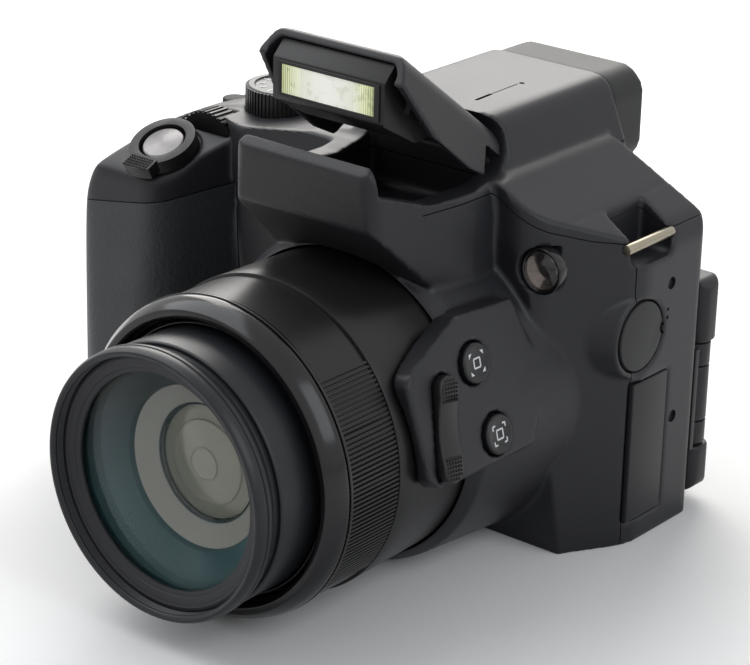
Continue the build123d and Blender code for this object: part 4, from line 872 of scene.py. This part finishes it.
def mark(name, node, reach, lines, arrows):
    # White marks as thin raised bars and arrow heads, all given as (ahead, up) corners
    shapes = []
    for (a1, u1), (a2, u2) in lines:
        start, end = onPlate(reach, a1, u1), onPlate(reach, a2, u2)
        side = (end - start).normalized().cross(plateOut) * sideControls["mark"] * mm
        shapes.append([start - side, end - side, end + side, start + side])
    shapes += [[onPlate(reach, *corner) for corner in arrow] for arrow in arrows]
    bars = [prism(name, shape, plateOut * sideControls["markLift"] * mm) for shape in shapes]
    carry(join(name, *bars), whitePrint, "button_plastic", body=node)


def square(ahead, up, half):
    corners = [(ahead - half, up - half), (ahead + half, up - half), (ahead + half, up + half),
               (ahead - half, up + half)]
    return [(corners[i], corners[(i + 1) % 4]) for i in range(4)]


def bracket(ahead, up, sa, su):
    # Two short bars that meet at one corner of the mark
    a, u = ahead + sa * sideControls["corner"], up + su * sideControls["corner"]
    return [((a, u), (a - sa * sideControls["arm"], u)), ((a, u), (a, u - su * sideControls["arm"]))]


def arrowHead(ahead, up, sa, su):
    # A filled triangle at one corner of the mark
    out, near = sideControls["arrowOut"], sideControls["arrowIn"]
    return [(ahead + sa * out, up + su * out), (ahead + sa * out, up + su * near),
            (ahead + sa * near, up + su * out)]


fourCorners = list(itertools.product((-1, 1), (-1, 1)))
reach = plateButton("seekButton", "seek_button", *seekSpot)
mark("seekButtonMark", "seek_button", reach, square(*seekSpot, sideControls["square"]),
     [arrowHead(*seekSpot, *signs) for signs in fourCorners])
reach = plateButton("lockButton", "lock_button", *lockSpot)
mark("lockButtonMark", "lock_button", reach, square(*lockSpot, sideControls["square"])
     + [bar for signs in fourCorners for bar in bracket(*lockSpot, *signs)], [])

# The zoom rocker, with a field of small studs on each raised end
rockerForm = {"spot": (38.4, -1.0), "lean": math.radians(9), "start": 5.6, "half": 2.3, "round": 7.9,
              "pitch": 0.8, "rows": 6, "columns": 6, "rise": 1.5, "stud": 0.5, "studRadius": 0.42,
              "studTip": 0.14}
rocker = eased("zoomRocker", "zoom_rocker", 0.35, 3)
rockCos, rockSin = math.cos(rockerForm["lean"]), math.sin(rockerForm["lean"])
studs = []
for row in range(rockerForm["rows"]):
    for column in range(rockerForm["columns"]):
        along = rockerForm["start"] + row * rockerForm["pitch"]
        across = (column - (rockerForm["columns"] - 1) / 2) * rockerForm["pitch"]
        if math.hypot(across, max(along - rockerForm["round"], 0)) > rockerForm["half"]:
            continue
        for side in (-1, 1):
            ahead = rockerForm["spot"][0] + across * rockCos - side * along * rockSin
            up = rockerForm["spot"][1] + side * along * rockCos + across * rockSin
            foot = onPlate(sideControls["face"] + rockerForm["rise"], ahead, up)
            studs.append(cylinder("stud", foot, foot + plateOut * rockerForm["stud"] * mm,
                                  rockerForm["studRadius"], 4, rockerForm["studTip"]))
carry(smooth(join("zoomRocker", rocker, *studs), 35), rockerPlastic, "button_plastic", "zoom_rocker")

# Focus lamp, jack cap and terminal door
lampForm = {"ring": [(4.0, 3.2), (4.85, 3.2), (4.85, 5.55), (4.6, 5.75), (4.25, 5.7), (4.0, 5.4)],
            "dome": [(0, 6.35), (1.2, 6.28), (2.4, 6.02), (3.4, 5.65), (3.98, 5.3), (3.98, 3.4), (0, 3.4)],
            "seat": [(0, 2.2), (3.9, 2.2), (3.9, 3.3), (3.0, 3.0), (1.9, 2.5), (1.6, 2.9), (0, 3.1)]}
nailSlot = {"ahead": -23.9, "from": 42.4, "to": 44, "radius": 1.9}
lampRing = lathe("lampRing", lampForm["ring"], 72, 0.08, lampSpot)
lampDome = lathe("focusLamp", lampForm["dome"], 72, 0, lampSpot)
carry(lampRing, glossBlack, "gloss_black", body="camera_body")
carry(smooth(lampDome, 40), lampGlass, "lamp_plastic", "focus_lamp")
carry(lathe("lampSeat", lampForm["seat"], 48, 0.05, lampSpot), mirrorFoil, "reflector", body="camera_body")
cap = eased("jackCap", "jack_cap", 0.3, 3)
combine(cap, cylinder("nailSlot", place(nailSlot["from"], nailSlot["ahead"], capSpot[1]),
                      place(nailSlot["to"], nailSlot["ahead"], capSpot[1]), nailSlot["radius"], 48))
carry(smooth(cap, 40), softRubber, "dark_rubber", "jack_cap")
carry(eased("terminalDoor", "terminal_door", 0.3, 3), rearPlastic, "body_plastic", "terminal_door")
print("side controls ready")

# Strap bars, eyecup, screen, back and underside
cupForm = {"voxel": 0.45, "soften": 8, "share": 0.5}
carry(eased("strapBars", "strap_bars", 0.12), strapSteel, "steel", "strap_bars")
cup = softened("eyecup", cupForm["voxel"], cupForm["soften"], cupForm["share"], "eyecup")
carry(smooth(cup, 40), softRubber, "dark_rubber", "eyecup")
for name, node, width, material, slotName in (
        ("screenShell", "screen_shell", 0.7, rearPlastic, "body_plastic"),
        ("screenGlass", "screen_glass", 0.2, screenPanel, "screen_glass"),
        ("screenHingeArm", "screen_hinge_arm", 0.35, rearPlastic, "body_plastic"),
        ("screenHingeBase", "screen_hinge_base", 0.2, rearPlastic, "body_plastic"),
        ("thumbRest", "thumb_rest", 0.5, gripRubber, "grip_rubber"),
        ("setButton", "set_button", 0.35, buttonPlastic, "button_plastic"),
        ("playButton", "play_button", 0.35, buttonPlastic, "button_plastic"),
        ("menuButton", "menu_button", 0.35, buttonPlastic, "button_plastic"),
        ("movieButton", "movie_button", 0.35, buttonPlastic, "button_plastic"),
        ("basePlate", "base_plate", 0.3, rearPlastic, "body_plastic"),
        ("batteryDoor", "battery_door", 0.3, rearPlastic, "body_plastic"),
        ("tripodSocket", "tripod_socket", 0.15, brightSteel, "steel"),
        ("baseScrews", "base_screws", 0.12, brightSteel, "steel")):
    carry(eased(name, node, width, 3), material, slotName, node)
rearWheel = eased("rearDial", "rear_dial", 0)
carry(smooth(rearWheel, 25), dialPlastic, "dial_plastic", "rear_dial")
print("back ready")

# CAD nodes that keep their shape
kept = {"flash_pin": brightSteel, "flash_reflector": mirrorFoil, "flash_tube": tubeGlass,
        "audio_jack": darkPlastic, "terminal_block": darkPlastic, "screen_pin": brightSteel,
        "eyepiece_glass": eyeGlass, "viewfinder_housing": darkPlastic, "viewfinder_display": screenPanel,
        "chassis": chassisAlloy, "image_sensor": sensorSilicon, "main_board": boardLaminate,
        "battery": batteryWrap, "memory_card": cardPlastic, "battery_box": darkPlastic}
for node, material in kept.items():
    slots = frame["nodes"][node].data.materials
    if len(slots):
        for i in range(len(slots)):
            slots[i] = material
    else:
        slots.append(material)

# Camera, floor and lamps
view = {"spot": (330.26, -443.92, 257.22), "ahead": (-0.580153, 0.724606, -0.371979), "lens": 134.4,
        "roll": 1.45, "sensor": 36}
light = {"sky": 0.38, "floorUnseen": 0.35, "floorSize": 8, "aim": (0, 0, 0.04),
         "lamps": (((-0.46, 0.56, 0.55), 6.6, 0.65, (1.0, 0.97, 0.93)),
                   ((-0.52, -0.16, 0.70), 4.2, 0.8, (0.95, 0.97, 1.0)),
                   ((0.76, -0.05, 0.55), 2.4, 0.6, (0.90, 0.95, 1.0)))}


def shoot():
    spot = Vector(view["spot"]) * mm
    turn = Vector(view["ahead"]).to_track_quat("-Z", "Y").to_matrix().to_4x4()
    deselect()
    bpy.ops.object.camera_add(location=spot)
    camera = bpy.context.object
    roll = Matrix.Rotation(math.radians(view["roll"]), 4, "Z")
    camera.matrix_world = Matrix.Translation(spot) @ turn @ roll
    camera.data.lens = view["lens"]
    camera.data.sensor_width = view["sensor"]
    bpy.context.scene.camera = camera


def floorFinish():
    # Pale paper that keeps the object's shadow and throws little light back up
    paint = Paint("paleFloor")
    pale = paint.blend(paint.noise(30), grey(0.93), grey(0.95))
    paper = paint.blend(paint.shown(), grey(light["floorUnseen"]), pale)
    return paint.set(Base_Color=paper, Roughness=0.9)


def surroundings():
    # White to the camera and in reflections, a plain level for everything else
    paint = Paint("studio", bpy.data.worlds, "Background")
    level = paint.shown() * (1 - light["sky"]) + light["sky"]
    bpy.context.scene.world = paint.set(Strength=level, Color=grey(1))


shoot()
deselect()
bpy.ops.mesh.primitive_plane_add(size=light["floorSize"], location=(0, 0, 0))
floor = bpy.context.object
floor.name = "floor"
floor.data.materials.append(floorFinish())
surroundings()
for spot, energy, size, colour in light["lamps"]:
    deselect()
    bpy.ops.object.light_add(type="AREA", location=spot)
    lamp = bpy.context.object
    lamp.data.energy = energy
    lamp.data.size = size
    lamp.data.color = colour
    lamp.rotation_euler = (Vector(light["aim"]) - Vector(spot)).to_track_quat("-Z", "Y").to_euler()
bpy.context.scene.view_settings.view_transform = "Standard"
